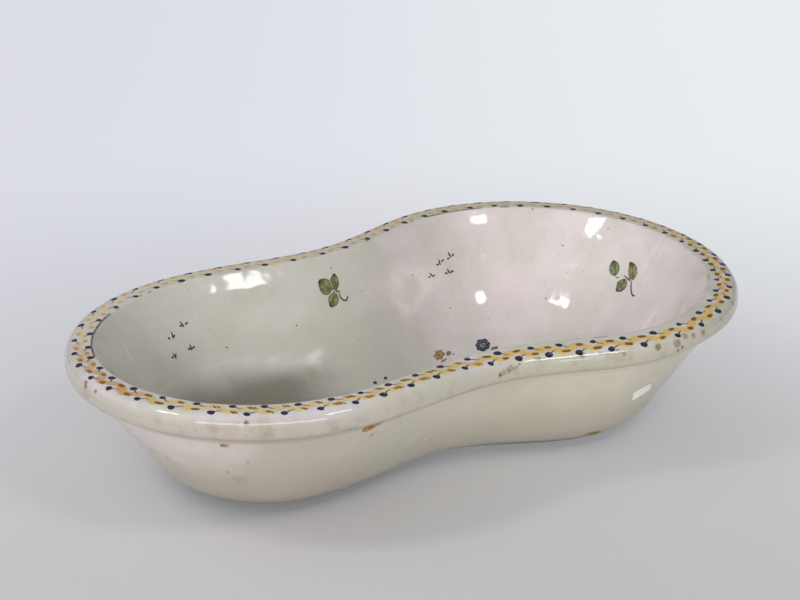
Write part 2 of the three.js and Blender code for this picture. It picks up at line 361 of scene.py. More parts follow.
def sunk(points):
    """How far each point sinks below the smooth form, in millimetres."""
    depth = sum(deep * ripple(points, *waves) for deep, *waves in UNEVEN)
    for *spot, reach, deep in KNOCKS:
        depth = depth + deep * np.clip(KNOCK_SLOPE * nearness(points, spot, reach), 0, 1)
    return depth


NUDGE = 1e-4


def skin(t, rows=slice(None)):
    """Points and outward normals of the finished surface, both (rows, n, 3).

    The normal is the cross product of a small step round the plan and a step along the section.
    """
    form = section(t)
    around = section(t + NUDGE) - form
    along = np.gradient(form, axis=0)
    normal = unit(np.cross(around, along))
    form, normal = form[rows], normal[rows]
    return form - normal * sunk(form)[..., None], normal


# %% [markdown]
# ## Finding a place on the skin
#
# Brushwork, label and marks must lie on the surface, not near it. So they are drawn flat, in millimetres,
# and laid on the skin by one function. It takes a column of the section and walks along it a given
# distance from a known row, such as the middle of the band. Shrinkwrap would also do this, but it slides
# a shape about.

# %% A place on the skin
CHUNK = 4000  # points worked out at once


def lay(t, distance, anchor, lift):
    """Points (n, 3) that lie a distance along the section from the anchor row, lifted off the skin."""
    if len(t) > CHUNK:
        parts = [slice(start, start + CHUNK) for start in range(0, len(t), CHUNK)]
        return np.concatenate([lay(t[part], distance[part], anchor, lift[part]) for part in parts])
    points, normals = skin(t)
    steps = np.linalg.norm(np.diff(points, axis=0), axis=-1)
    walked = np.concatenate([np.zeros((1, len(t))), np.cumsum(steps, axis=0)])
    walked = walked - walked[anchor]
    row = np.clip((walked <= distance).sum(axis=0) - 1, 0, len(walked) - 2)
    column = np.arange(len(t))
    share = ((distance - walked[row, column]) / (walked[row + 1, column] - walked[row, column]))[:, None]
    place = points[row, column] * (1 - share) + points[row + 1, column] * share
    normal = unit(normals[row, column] * (1 - share) + normals[row + 1, column] * share)
    return place + normal * lift[:, None]


LEDGE_INSET = (LIP_TOP_RADIUS + RIM_WIDTH - ARRIS_RADIUS * math.tan(ARRIS_SLOPE / 2)) / 2


def on_band(distance, inset, lift):
    """Points on the flat band, by their distance round it and in from the outer edge. Arrays of one shape."""
    shape = distance.shape
    t = t_at(distance.ravel())
    shift = bell(t, *WIDER) / 2 + bell(t, *BORDER_SHIFT)
    flat = lay(t, inset.ravel() - LEDGE_INSET - shift, LEDGE_ROW, lift.ravel())
    return flat.reshape(*shape, 3)


def on_wall(t, height, right, up, lift, inner=True):
    """Points near a place on a wall, by how far right and up they lie as one faces the wall.

    The place is given by t and its height. A step to the right is a step in t, divided by how fast the wall
    runs there, and a step up is a walk back along the section.
    """
    form = section(np.array([t, t + NUDGE]))
    rows = np.arange(INNER_ROW, LAST_ROW) if inner else np.arange(0, CREASE_ROW)
    order = np.argsort(form[rows, 0, 2])
    row = int(round(np.interp(height, form[rows, 0, 2][order], rows[order])))
    speed = np.linalg.norm(form[row, 1] - form[row, 0]) / NUDGE
    turn = -1.0 if inner else 1.0
    shape = right.shape
    places = (t + turn * right / speed).ravel()
    walk = (turn * up).ravel()
    return lay(places, walk, row, lift.ravel()).reshape(*shape, 3)


# %% [markdown]
# ## Meshes
#
# A skin is a grid of points: its rows and columns become four-sided faces. A brushstroke is a slab of
# glaze colour a few hundredths of a millimetre thick, a grid on top, the same grid below and a band round
# the edge, so that it is a closed body like everything else. All faces come from index arithmetic on
# whole arrays.

# %% Mesh helpers
def new_piece(name, points_mm, faces, sharp, replaces=(), uv=None):
    """A mesh object from points in millimetres and faces as index rows, riding on the basin's one body."""
    mesh = bpy.data.meshes.new(name)
    mesh.from_pydata((np.asarray(points_mm) * MM).tolist(), [], faces)
    mesh.shade_smooth()
    if uv is not None:
        layer = mesh.uv_layers.new(name="stroke")
        corners = np.empty(len(mesh.loops), dtype=np.int32)
        mesh.loops.foreach_get("vertex_index", corners)
        layer.data.foreach_set("uv", np.asarray(uv, dtype=np.float32)[corners].ravel())
    mesh.set_sharp_from_angle(angle=sharp)
    piece = bpy.data.objects.new(name, mesh)
    bpy.context.scene.collection.objects.link(piece)
    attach(piece, "root")
    if replaces:
        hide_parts(*replaces)
    print(name, len(mesh.vertices), "points", len(mesh.polygons), "faces")
    return piece


def set_attribute(piece, name, values):
    """A number for each point of a piece, which its material can read."""
    layer = piece.data.attributes.new(name, "FLOAT", "POINT")
    layer.data.foreach_set("value", np.asarray(values, dtype=np.float32).ravel())


def grid_faces(rows, columns, closed_rows, closed_columns):
    """Index rows of the faces of a grid whose points are numbered row by row, facing (column x row)."""
    row = np.arange(rows if closed_rows else rows - 1)[:, None]
    column = np.arange(columns if closed_columns else columns - 1)[None, :]
    next_row, next_column = (row + 1) % rows, (column + 1) % columns
    corners = [row * columns + column, row * columns + next_column, next_row * columns + next_column]
    corners.append(next_row * columns + column)
    return np.stack(np.broadcast_arrays(*corners), axis=-1).reshape(-1, 4)


def slab_faces(rows, columns):
    """Faces of one slab: a top grid, a bottom grid after it, and the band between their edges."""
    top = grid_faces(rows, columns, False, False)
    count = rows * columns
    index = np.arange(count).reshape(rows, columns)
    edge = np.concatenate([index[0, :-1], index[:-1, -1], index[-1, :0:-1], index[:0:-1, 0]])
    following = np.roll(edge, -1)
    band = np.column_stack([following, edge, edge + count, following + count])
    return np.concatenate([top, top[:, ::-1] + count, band])

# %% Slabs of pigment
PAINT_LIFT = 0.05  # a brushstroke stands this proud, in millimetres
PAINT_ROOT = 0.10  # and reaches this far into the glaze
SHARP_SLAB = math.radians(50)


def slab_piece(name, slot, tops, bottoms, uv, replaces=()):
    """One piece of many slabs, from arrays (slabs, rows, columns, 3) of their upper and lower points."""
    slabs, rows, columns = tops.shape[:3]
    count = rows * columns
    points = np.stack([tops.reshape(slabs, count, 3), bottoms.reshape(slabs, count, 3)], axis=1)
    faces = slab_faces(rows, columns)
    faces = (faces[None] + 2 * count * np.arange(slabs)[:, None, None]).reshape(-1, 4)
    doubled = np.broadcast_to(uv.reshape(slabs, 1, count, 2), (slabs, 2, count, 2))
    uv = doubled.reshape(-1, 2)
    return new_piece(name, points.reshape(-1, 3), faces.tolist(), SHARP_SLAB, replaces, uv)


# %% [markdown]
# ## The rim and the bowl
#
# The rim is a closed ring: its glazed outside, and one hidden face inside the clay where the wall's top
# meets it. The bowl is the rest: base, walls and floor. Both come from the same section, so their
# surfaces meet without a step, the one in the crease under the lip, the other just under the inner arris.
# The rim has twice as many columns, because its arris and chips are small. Where the bowl's columns meet
# along the middle of the floor, the points of the two sides are merged.

# %% What the glaze needs to know
BOWL_COLUMNS = 740
RIM_COLUMNS = 2 * BOWL_COLUMNS
SHARP_BODY = math.radians(60)
SPINE_SAG = 0.3  # how far the floor's middle line sinks


def attributes_of(piece, points, inner_share):
    """What the glaze needs to know at each point: which side it is on, and how badly it is knocked."""
    set_attribute(piece, "inside", inner_share)
    set_attribute(piece, "knocked", np.clip(knocked(points), -1, 1))
    set_attribute(piece, "bruised", bruised(points))

# %% Bruises
# Places where iron in the clay bled into the glaze, or dirt got under it: x, y, z and reach, then strength.
BRUISES = (
    (-8.9, -133.1, 98.0, 2.4, 0.95),
    (-5.5, -133.3, 99.2, 2.6, 0.7),
    (-2.0, -133.5, 100.0, 2.8, 0.8),
    (1.5, -133.7, 100.8, 2.4, 0.7),
    (4.5, -134.1, 100.9, 1.8, 0.6),
    (7.0, -133.6, 102.7, 1.1, 1.0),
    (0.1, -132.6, 102.8, 1.0, 0.8),
    (20.4, -135.0, 104.4, 1.6, 1.0),
    (22.8, -135.5, 104.4, 1.5, 1.0),
    (52.9, -146.2, 103.5, 3.4, 0.75),
    (65.9, -150.8, 103.6, 1.5, 0.8),
    (78.6, -154.0, 104.4, 1.3, 1.0),
    (70.5, -153.8, 101.5, 5.0, 0.18),
    (78.3, -156.5, 100.5, 7.0, 0.26),
    (82.2, -157.2, 101.6, 2.0, 0.75),
    (109.6, -161.8, 102.6, 3.4, 0.9),
    (126.8, -162.7, 101.7, 4.2, 0.75),
    (127.2, -163.4, 96.2, 1.8, 1.0),
    (131.2, -163.0, 97.2, 1.9, 1.0),
    (135.8, -159.8, 104.6, 3.4, 0.7),
    (143.9, -160.1, 102.9, 2.6, 0.75),
    (154.7, -158.3, 102.0, 3.2, 0.75),
    (181.0, -149.0, 103.5, 2.4, 0.5),
    (206.0, -132.0, 104.5, 3.0, 0.6),
    (232.0, -103.4, 103.0, 2.6, 0.5),
    (-195.3, -123.8, 99.6, 12.0, 0.16),
    (-176.0, -131.0, 98.0, 10.0, 0.14),
    (-214.0, -112.0, 101.0, 9.0, 0.14),
    (-150.0, -139.0, 97.0, 8.0, 0.10),
    (-107.3, -120.2, 71.6, 2.6, 0.5),
    (-108.0, -129.0, 85.5, 9.0, 0.35),
    (-208.3, -93.3, 78.6, 4.0, 0.5),
    (-212.0, -88.0, 81.0, 3.0, 0.3),
    (99.0, -103.0, 11.4, 8.0, 0.6),
    (-269.2, -6.2, 103.9, 2.6, 1.0),
    (-268.2, -4.0, 106.0, 2.6, 1.0),
    (-267.8, -19.0, 105.2, 2.4, 1.0),
    (-203.3, -117.4, 104.8, 2.4, 1.0),
    (-18.5, -101.0, 57.7, 1.3, 0.8),
    (-36.3, -86.2, 34.8, 1.3, 0.8),
    (-188.3, -76.4, 39.8, 7.0, 0.22),
    (-224.3, -36.9, 49.7, 1.8, 0.8),
    (-190.6, -100.0, 70.6, 1.6, 0.8),
    (-190.1, -92.5, 60.7, 1.6, 0.8),
    (-197.8, -75.9, 48.7, 1.8, 0.9),
)
BRUISE_EDGE = 0.7
BRUISE_SLOPE = 2.3


def bruised(points):
    """How strongly each point is stained, 0 to 1: a ball about each bruise, its edge frayed by a ripple."""
    fray = (ripple(points, seed=22, wavelength=2.6, waves=11) - 0.5) * 2 * BRUISE_EDGE
    stain = np.zeros(points.shape[:-1])
    for *spot, reach, strength in BRUISES:
        dark = np.clip(BRUISE_SLOPE * nearness(points, spot, reach) + fray, 0, 1)
        stain = np.maximum(stain, strength * dark)
    return stain

# %% The worn arris
# Where the arris has lost its glaze and the dirt has settled: from t, to t, and how badly.
WEAR = (
    (3.44, 3.86, 1.0), (3.375, 3.40, 0.8), (3.235, 3.25, 0.7), (3.185, 3.205, 0.8), (3.035, 3.055, 0.7),
    (1.645, 1.665, 0.8), (1.285, 1.30, 0.8), (1.235, 1.255, 0.8), (0.80, 1.12, 1.0), (0.685, 0.72, 0.9),
    (4.42, 4.50, 0.5), (4.95, 5.02, 0.5), (5.90, 5.94, 0.6), (6.60, 6.68, 0.5), (7.55, 7.60, 0.4),
)
WEAR_WIDTH = 0.9
WEAR_SHIFT = 0.8  # how far it lies off the arris, towards the band
WEAR_FADE = 0.008  # how fast it fades at its ends, in t
WEAR_GRAIN = (0.35, 1.3)  # how much the ripple breaks it up


def worn(points, t):
    """How badly the arris is worn: a bell across it, within its stretches, broken up by a ripple."""
    across = np.arange(len(points))[:, None] - (ARRIS_ROW - CREASE_ROW)
    step = np.linalg.norm(np.diff(points, axis=0, append=points[-1:] + 1.0), axis=-1)
    line = np.exp(-((across * step + WEAR_SHIFT) / WEAR_WIDTH) ** 2)
    window = np.zeros(len(t))
    for first, last, strength in WEAR:
        inside = np.clip(np.minimum(t - first, last - t) / WEAR_FADE + 0.5, 0, 1)
        window = np.maximum(window, strength * inside)
    least, spread = WEAR_GRAIN
    return np.clip(line * window * (least + spread * ripple(points, seed=23, wavelength=3.0, waves=9)), 0, 1)

# %% The rim
def side_of_rows():
    """0 on the outside, one half on the flat band and 1 inside, for each row of the section."""
    rows = np.arange(LAST_ROW + 1)
    lip_end, arris_start = row_starts[3] + STRAIGHT_STEPS[3], row_starts[5] - ARC_STEPS[4]
    return np.interp(rows, [lip_end, row_starts[4], arris_start, row_starts[5]], [0.0, 0.5, 0.5, 1.0])


t_rim = t_at(np.arange(RIM_COLUMNS) * BAND_LENGTH / RIM_COLUMNS)
rim_rows = slice(CREASE_ROW, SEAM_ROW + 1)
rim_points = skin(t_rim, rim_rows)[0]
rim_sides = np.broadcast_to(side_of_rows()[rim_rows, None], rim_points.shape[:2])
rim_faces = grid_faces(len(rim_points), RIM_COLUMNS, True, True)
rim = new_piece(
    "painted_rim", rim_points.reshape(-1, 3), rim_faces.tolist(), SHARP_BODY,
    ("flat_rim", "rolled_lip"),
)
attributes_of(rim, rim_points, rim_sides)
set_attribute(rim, "worn", worn(rim_points, t_rim))

# %% The bowl
t_bowl = t_rim[::2]
bowl_keep = np.r_[0:CREASE_ROW + 1, SEAM_ROW:LAST_ROW + 1]
bowl_points = skin(t_bowl)[0][bowl_keep]
bowl_sides = np.broadcast_to(side_of_rows()[bowl_keep, None], bowl_points.shape[:2])
bowl_points[[0, -1], :, 1] = 0.0
bowl_points[0, :, 2] = 0.0
bowl_points[-1, :, 2] = FLOOR - SPINE_SAG
bowl_faces = grid_faces(len(bowl_points), BOWL_COLUMNS, False, True)
bowl = new_piece(
    "glazed_bowl", bowl_points.reshape(-1, 3), bowl_faces.tolist(), SHARP_BODY,
    ("basin_floor", "back_wall", "front_wall"),
)
attributes_of(bowl, bowl_points, bowl_sides)

# %% The middle of the floor
ON_SPINE = 1e-7  # in metres
MERGE_WITHIN = 1e-6


def close_spine(piece):
    """Merges the points of the two sides where they meet along the middle of the floor and of the base."""
    mesh = bmesh.new()
    mesh.from_mesh(piece.data)
    before = len(mesh.verts)
    middle = [point for point in mesh.verts if abs(point.co.y) < ON_SPINE]
    bmesh.ops.remove_doubles(mesh, verts=middle, dist=MERGE_WITHIN)
    mesh.to_mesh(piece.data)
    open_edges = sum(len(edge.link_faces) != 2 for edge in mesh.edges)
    print(piece.name, "merged", before - len(mesh.verts), "points, open edges:", open_edges)
    mesh.free()


close_spine(bowl)

# %% [markdown]
# ## The painted border
#
# The painter turned the basin and drew a wavy ochre ribbon along the middle of the band, about 24 mm from
# crest to crest. At each crest sits a dark blue oval with a curled tail, and short brown strokes cross
# the ribbon. The spacing isn't even: the painter sped up and slowed down, so the repeats come in runs,
# each with its own pitch. The same phase drives ribbon, ovals, tails and strokes, which keeps them in
# step.

# %% The painter's spacing
# Runs of repeats: how many, and the pitch in millimetres, from the place of the first inner oval.
FIRST_OVAL = 291.0
RUNS = ((10, 24.1), (4, 26.5), (3, 20.7), (4, 26.7), (13, 23.5), (4, 27.2), (5, 22.4), (14, 23.7))
run_counts, run_pitches = np.array(RUNS).T
repeat_table = np.concatenate([[0], np.cumsum(run_counts)])
place_table = np.concatenate([[0], np.cumsum(run_counts * run_pitches)])
place_table = FIRST_OVAL + place_table * BAND_LENGTH / place_table[-1]
REPEATS = int(repeat_table[-1])


def place_of(repeat):
    """Distance round the band of a repeat number, which may be a fraction and may run past the last one."""
    laps = np.floor(repeat / REPEATS)
    return np.interp(repeat - laps * REPEATS, repeat_table, place_table) + laps * BAND_LENGTH


print(REPEATS, "repeats of the border")

# %% The ribbon
RIBBON_INSET = 12.4
RIBBON_SWING = 3.1
RIBBON_WIDTH = 7.0
STEPS_PER_REPEAT = 18
RIBBON_ACROSS = 7
CREST_LEAN = (0.12, 0.6)  # a second wave that makes the crests lean: its share and its phase
STRAY = ((0.35, 1.7), (0.25, 0.61))  # how far the painter strays in or out, and how fast along the repeats
WIDTHS = (0.92, 0.16)  # the least width as a share, and how much the hand adds
SWELL = (0.13, 2.4)  # how much it swells between crests, and the phase
TIP_THINNER = (0.26, 0.8)  # about the back tip it is thinner: by how much, and over what reach in t
LOOK_AHEAD = 0.01
random = np.random.default_rng(31)


def ribbon_middle(repeat):
    """How far in the ribbon's middle lies: out where an inner oval sits, and in half a repeat later."""
    wave = np.cos(repeat * 2 * np.pi) + CREST_LEAN[0] * np.cos(repeat * 4 * np.pi + CREST_LEAN[1])
    stray = sum(reach * np.sin(repeat * rate) for reach, rate in STRAY)
    return RIBBON_INSET - RIBBON_SWING * wave + stray


def on_band_twice(distance, inset, lift):
    """The upper points of brushwork on the band, and its lower ones inside the glaze."""
    return [on_band(distance, inset, np.full(distance.shape, height)) for height in (lift, -PAINT_ROOT)]


def ribbon():
    """The ribbon as one closed band: across it the points are evenly spaced at right angles to its course."""
    steps = REPEATS * STEPS_PER_REPEAT
    repeat = np.arange(steps) / STEPS_PER_REPEAT
    along, inset = place_of(repeat), ribbon_middle(repeat)
    later = repeat + LOOK_AHEAD
    ahead = unit(np.column_stack([place_of(later) - along, ribbon_middle(later) - inset]))
    wander = hand(repeat * ROUND / REPEATS, seed=33, lowest=20, highest=60)
    width = RIBBON_WIDTH * (WIDTHS[0] + WIDTHS[1] * wander)
    width = width * (1 + SWELL[0] * np.cos(repeat * 4 * np.pi + SWELL[1]))
    from_tip = np.minimum(t_at(along), ROUND - t_at(along))
    width = width * (1 - TIP_THINNER[0] * np.exp(-(from_tip / TIP_THINNER[1]) ** 2))
    across = np.linspace(-0.5, 0.5, RIBBON_ACROSS)[:, None]
    distance = along + across * width * -ahead[:, 1]
    inward = inset + across * width * ahead[:, 0]
    top, bottom = on_band_twice(distance, inward, PAINT_LIFT)
    uv = np.stack(np.broadcast_arrays(across + 0.5, repeat[None]), axis=-1)
    return np.concatenate([top, bottom[::-1]]), np.concatenate([uv, uv[::-1]])


ribbon_points, ribbon_uv = ribbon()
ribbon_faces = grid_faces(*ribbon_points.shape[:2], True, True)[:, ::-1]
border_ribbon = new_piece(
    "border_ribbon", ribbon_points.reshape(-1, 3), ribbon_faces.tolist(), SHARP_SLAB,
    uv=ribbon_uv.reshape(-1, 2),
)

# %% [markdown]
# ## Ovals, tails and short strokes
#
# A loaded brush pressed down leaves an oval, and pulled away it leaves a thin tail. Each oval is a small
# square grid bent into a disc, and each tail a grid that narrows along a curve. A few dozen faces are
# enough, because there are more than a hundred of each.

# %% Brush shapes
def disc_grid(steps):
    """A square grid bent into a disc: u becomes u sqrt(1 - v v / 2), and v becomes v sqrt(1 - u u / 2)."""
    v, u = np.meshgrid(np.linspace(-1, 1, steps), np.linspace(-1, 1, steps), indexing="ij")
    uv = np.stack([(u + 1) / 2, (v + 1) / 2], axis=-1)
    return u * np.sqrt(1 - v * v / 2), v * np.sqrt(1 - u * u / 2), uv


def stroke_grid(course, widths, across):
    """Brushstrokes along points (..., steps, 2) with a width at each: grids across their course."""
    ahead = unit(np.gradient(course, axis=-2))
    aside = np.stack([-ahead[..., 1], ahead[..., 0]], axis=-1)
    share = np.linspace(-0.5, 0.5, across)[:, None]
    offset = share * widths[..., None, :]
    grid = course[..., None, :, :] + offset[..., None] * aside[..., None, :, :]
    steps = np.linspace(0, 1, course.shape[-2])
    uv = np.stack(np.broadcast_arrays(share + 0.5, steps[None]), axis=-1)
    return grid, np.broadcast_to(uv, grid.shape)


def band_piece(name, distance, inset, lift, uv):
    """Brushstrokes on the band, one slab each, from their flat places and how far they stand proud."""
    tops, bottoms = on_band_twice(distance, inset, lift)
    return slab_piece(name, "painted_glaze", tops, bottoms, np.broadcast_to(uv, (*distance.shape, 2)))


# %% Ovals
OVAL_LENGTH = 6.2
OVAL_WIDTH = 5.2
OVAL_EGG = 0.12  # how much wider its leading end is
OVAL_LIFT = 1.6 * PAINT_LIFT
INNER_OVAL_INSET = 17.6
OUTER_OVAL_INSET = 7.0
OVAL_TILT = 0.12
OVAL_SIZES = (0.85, 1.13)
INSET_SPREAD, PLACE_SPREAD, TILT_SPREAD = 0.35, 0.7, 0.22
oval_count = 2 * REPEATS
oval_repeats = np.concatenate([np.arange(REPEATS), np.arange(REPEATS) + 0.5])
oval_insets = np.repeat([INNER_OVAL_INSET, OUTER_OVAL_INSET], REPEATS)
oval_insets = oval_insets + random.normal(0, INSET_SPREAD, oval_count)
oval_places = place_of(oval_repeats) + random.normal(0, PLACE_SPREAD, oval_count)
oval_tilts = random.normal(0, TILT_SPREAD, oval_count) + np.repeat([OVAL_TILT, -OVAL_TILT], REPEATS)
oval_sizes = random.uniform(*OVAL_SIZES, oval_count)[:, None, None]

u, v, oval_uv = disc_grid(5)
cos, sin = np.cos(oval_tilts)[:, None, None], np.sin(oval_tilts)[:, None, None]
long = u * OVAL_LENGTH / 2 * oval_sizes
wide = v * OVAL_WIDTH / 2 * oval_sizes * (1 + OVAL_EGG * u)
oval_distance = oval_places[:, None, None] + long * cos - wide * sin
oval_inset = oval_insets[:, None, None] + long * sin + wide * cos
ovals = band_piece("border_ovals", oval_distance, oval_inset, OVAL_LIFT, oval_uv)

# %% Tails
TAIL_LENGTH = 6.6
TAIL_LENGTHS = (0.75, 1.15)
TAIL_SWINGS = (2.2, 3.6)
TAIL_WIDTH = 1.9
TAIL_TAPER = 0.72
TAIL_START = (0.22, 0.5)  # along the band as a share of the oval's length, and across it in millimetres
TAIL_CURL = (1.9, 1.3)  # how far round the curl goes, and how late it starts
TAIL_STEPS = 8
TAIL_LIFT = 1.4 * PAINT_LIFT
towards_ribbon = np.repeat([-1.0, 1.0], REPEATS)[:, None]
share = np.linspace(0, 1, TAIL_STEPS)[None]
tail_reach = TAIL_LENGTH * random.uniform(*TAIL_LENGTHS, (oval_count, 1))
tail_swing = random.uniform(*TAIL_SWINGS, (oval_count, 1))
tail_distance = oval_places[:, None] + OVAL_LENGTH * TAIL_START[0] + tail_reach * share
curl = tail_swing * np.sin(share * TAIL_CURL[0]) ** TAIL_CURL[1]
tail_inset = oval_insets[:, None] + towards_ribbon * (TAIL_START[1] + curl)
tail_widths = np.broadcast_to(TAIL_WIDTH * (1.0 - TAIL_TAPER * share), tail_inset.shape)
tail_grid, tail_uv = stroke_grid(np.stack([tail_distance, tail_inset], axis=-1), tail_widths, 3)
tails = band_piece("border_tails", tail_grid[..., 0], tail_grid[..., 1], TAIL_LIFT, tail_uv)

# %% Brown marks on the ribbon's crests
# On the near side of the front lobe each crest carries two or three short strokes, elsewhere one broad dab.
STROKED_FROM, STROKED_TO = 4.5, 6.0
STROKE_LENGTH = 4.2
STROKE_WIDTH = 1.7
STROKE_GAP = 2.3
STROKE_LEAN = 0.8  # how far a stroke leans along the band for each millimetre across
DAB_LENGTH = 6.4
DAB_WIDTH = 4.0
CREST_SHIFT = 0.09  # the marks sit a little past the crest, as a share of a repeat
CREST_REACH = 0.7  # and a little outside the ribbon's middle, in millimetres
THREE_STROKES = 0.35  # how often a crest has three strokes and not two
STROKE_LENGTHS, DAB_LENGTHS, DAB_WIDTHS = (0.75, 1.15), (0.8, 1.2), (0.8, 1.15)
STROKE_SPREAD, DAB_LEAN = 0.25, 0.10
MARK_LIFT = 1.9 * PAINT_LIFT


def crest_marks():
    """Courses and widths of all marks: strokes lean across the ribbon, and a dab runs along it."""
    repeats = oval_repeats + CREST_SHIFT
    places = place_of(repeats)
    insets = ribbon_middle(repeats) + CREST_REACH * np.repeat([-1.0, 1.0], REPEATS)
    t = t_at(places)
    stroked = (t > STROKED_FROM) & (t < STROKED_TO)
    share = np.linspace(-0.5, 0.5, 5)
    courses, widths = [], []
    for place, inset, with_strokes in zip(places, insets, stroked):
        if with_strokes:
            count = 3 if random.uniform() < THREE_STROKES else 2
            for number in range(count):
                along = share * STROKE_LENGTH * random.uniform(*STROKE_LENGTHS)
                middle = place + (number - (count - 1) / 2) * STROKE_GAP + random.normal(0, STROKE_SPREAD)
                courses.append(np.column_stack([middle + STROKE_LEAN * along, inset - along]))
                widths.append(np.full(len(share), STROKE_WIDTH))
        else:
            along = share * DAB_LENGTH * random.uniform(*DAB_LENGTHS)
            courses.append(np.column_stack([place + along, inset + random.normal(0, DAB_LEAN) * along]))
            widths.append(DAB_WIDTH * random.uniform(*DAB_WIDTHS) * np.sqrt(1.05 - 2.8 * share ** 2))
    return np.stack(courses), np.stack(widths)


mark_grid, mark_uv = stroke_grid(*crest_marks(), 5)
marks = band_piece("border_marks", mark_grid[..., 0], mark_grid[..., 1], MARK_LIFT, mark_uv)

# %% [markdown]
# ## Sprigs and seedlings
#
# Scattered over the inside are sprigs of three leaves on a curling stem, and seedlings, which are three
# flicks of a nearly dry brush. Low down, by the floor, lie a blue rosette and an ochre flower. Only the
# far wall can be seen in the photograph; the near wall has the same kinds of sprig, guessed. Each is a
# drawing in flat millimetres, right and up from its own place, so that one function can lay any of them
# on the wall.

# %% Drawing on the wall
def curve(points, steps):
    """A smooth line by a few points: each coordinate is a polynomial, at most cubic, of the path's share."""
    points = np.array(points, dtype=float)
    share = np.linspace(0, 1, len(points))
    degree = min(3, len(points) - 1)
    fits = [np.polyfit(share, points[:, axis], degree) for axis in (0, 1)]
    return np.column_stack([np.polyval(fit, np.linspace(0, 1, steps)) for fit in fits])


def wall_strokes(strokes, steps, across, lift):
    """Lays strokes on the inner wall. Each has a place (t, height), a course and the widths along it."""
    tops, bottoms, uvs = [], [], []
    for (t, height), points, widths in strokes:
        share = np.linspace(0, 1, steps)
        spread = np.interp(share, np.linspace(0, 1, len(widths)), widths)
        grid, uv = stroke_grid(curve(points, steps), spread, across)
        right, up = grid[..., 0], grid[..., 1]
        for layer, proud in ((tops, lift), (bottoms, -PAINT_ROOT)):
            layer.append(on_wall(t, height, right, up, np.full(right.shape, proud)))
        uvs.append(uv)
    return np.stack(tops), np.stack(bottoms), np.stack(uvs)

# %% Leaves and sprigs
LEAF_WIDTHS = (0.10, 0.66, 0.92, 1.0, 0.98, 0.84, 0.52, 0.12)


def leaf(place, base, tip, width, bend=0.0):
    """A leaf from its base to its tip: a straight or bowed course whose width swells and closes again."""
    base, tip = np.array(base, float), np.array(tip, float)
    middle = (base + tip) / 2 + bend * np.array([base[1] - tip[1], tip[0] - base[0]])
    return place, (base, middle, tip), np.array(LEAF_WIDTHS) * width


# Each leaf of a sprig: its base, its tip, its width and its bend, in millimetres right and up from the joint.
# Each stem: its points and its widths. The first sprig hooks back up, the second trails away.
THIN, THICK = (0.7, 1.3, 0.9), (1.2, 1.5, 1.6, 1.7, 1.6)
HOOKED_SPRIG = (
    (
        ((-4.3, 0.2), (-14.9, 11.4), 15.0, 0.0), ((0.6, 1.0), (2.3, 14.4), 8.4, 0.06),
        ((-0.3, -1.6), (-9.2, -11.4), 10.2, 0.0),
    ),
    (
        (((-5.8, 0.4), (-3.0, 2.4), (-1.0, 1.6), (0.3, 0.2)), THIN),
        (((0.2, 2.8), (0.5, 1.0), (0.3, -1.4)), (1.8, 2.4, 1.4)),
        (((-4.6, -3.0), (-3.0, -0.6), (-0.4, 0.0)), THIN),
        (((0.3, 0.0), (1.8, -0.6), (3.3, -0.9)), (1.5, 1.3, 2.1)),
        (((2.6, -1.4), (2.6, -4.4), (3.6, -8.0), (6.4, -9.6), (8.6, -7.6), (9.4, -5.6)), THICK),
    ),
)
TRAILING_SPRIG = (
    (
        ((-13.6, -0.6), (-22.3, 11.2), 10.8, 0.0), ((4.2, 0.4), (-6.6, 14.6), 9.6, -0.12),
        ((-3.2, 0.6), (-6.4, -12.0), 11.6, 0.1),
    ),
    (
        (((-6.0, 2.4), (-2.0, 1.6), (3.0, 0.4)), (0.8, 1.4, 2.0)),
        (((-13.4, -1.0), (-11.0, -1.2), (-9.4, 0.0)), THIN),
        (((0.2, -0.8), (-1.6, -4.6), (-3.8, -9.4)), (1.5, 1.2, 0.7)),
        (((3.4, 1.9), (6.4, -2.5), (8.2, -5.8), (11.0, -8.4), (14.2, -9.4), (16.6, -8.4)), THICK),
    ),
)


def sprig(place, drawing, mirror):
    """Three leaves about a joint and a stem that curls away: two lists of strokes, leaves and stems."""
    turned = np.array([mirror, 1.0])
    leaves = [
        leaf(place, turned * base, turned * tip, width, mirror * bend)
        for base, tip, width, bend in drawing[0]
    ]
    stems = [(place, [turned * point for point in points], widths) for points, widths in drawing[1]]
    return leaves, stems


# Places on the inside, t round the plan and height in millimetres. The last three are on the near wall.
SPRIGS = (
    ((1.950, 82.5), HOOKED_SPRIG, 1.0), ((0.070, 72.5), TRAILING_SPRIG, 1.0),
    ((5.35, 77.0), HOOKED_SPRIG, -1.0), ((6.25, 74.0), TRAILING_SPRIG, 1.0),
    ((7.12, 76.0), HOOKED_SPRIG, 1.0),
)
leaves, stems = [], []
for place, drawing, mirror in SPRIGS:
    new_leaves, new_stems = sprig(place, drawing, mirror)
    leaves += new_leaves
    stems += new_stems

# %% Flowers by the floor
ROSETTE_PLACE = (0.813, 15.6)
BLOOM_PLACE = (1.223, 16.7)
leaves += [
    leaf(ROSETTE_PLACE, (6.9, -8.2), (11.9, -1.9), 6.6, -0.1),
    leaf(BLOOM_PLACE, (8.6, -4.4), (14.2, -2.6), 6.0, 0.1),
    leaf(BLOOM_PLACE, (16.0, -26.0), (27.0, -24.0), 7.5),
    leaf(BLOOM_PLACE, (12.0, -29.0), (7.0, -38.0), 7.0),
]
stems += [
    (BLOOM_PLACE, ((13.8, -4.6), (16.0, -5.6), (18.6, -6.2)), (0.7, 1.2, 0.7)),
    (BLOOM_PLACE, ((-0.6, -8.2), (3.4, -8.0), (7.8, -7.6)), (1.2, 2.2, 1.2)),
    (BLOOM_PLACE, ((2.0, -12.0), (6.0, -18.0), (13.0, -25.0), (20.0, -32.0)), (0.9, 1.4, 1.4, 0.8)),
]

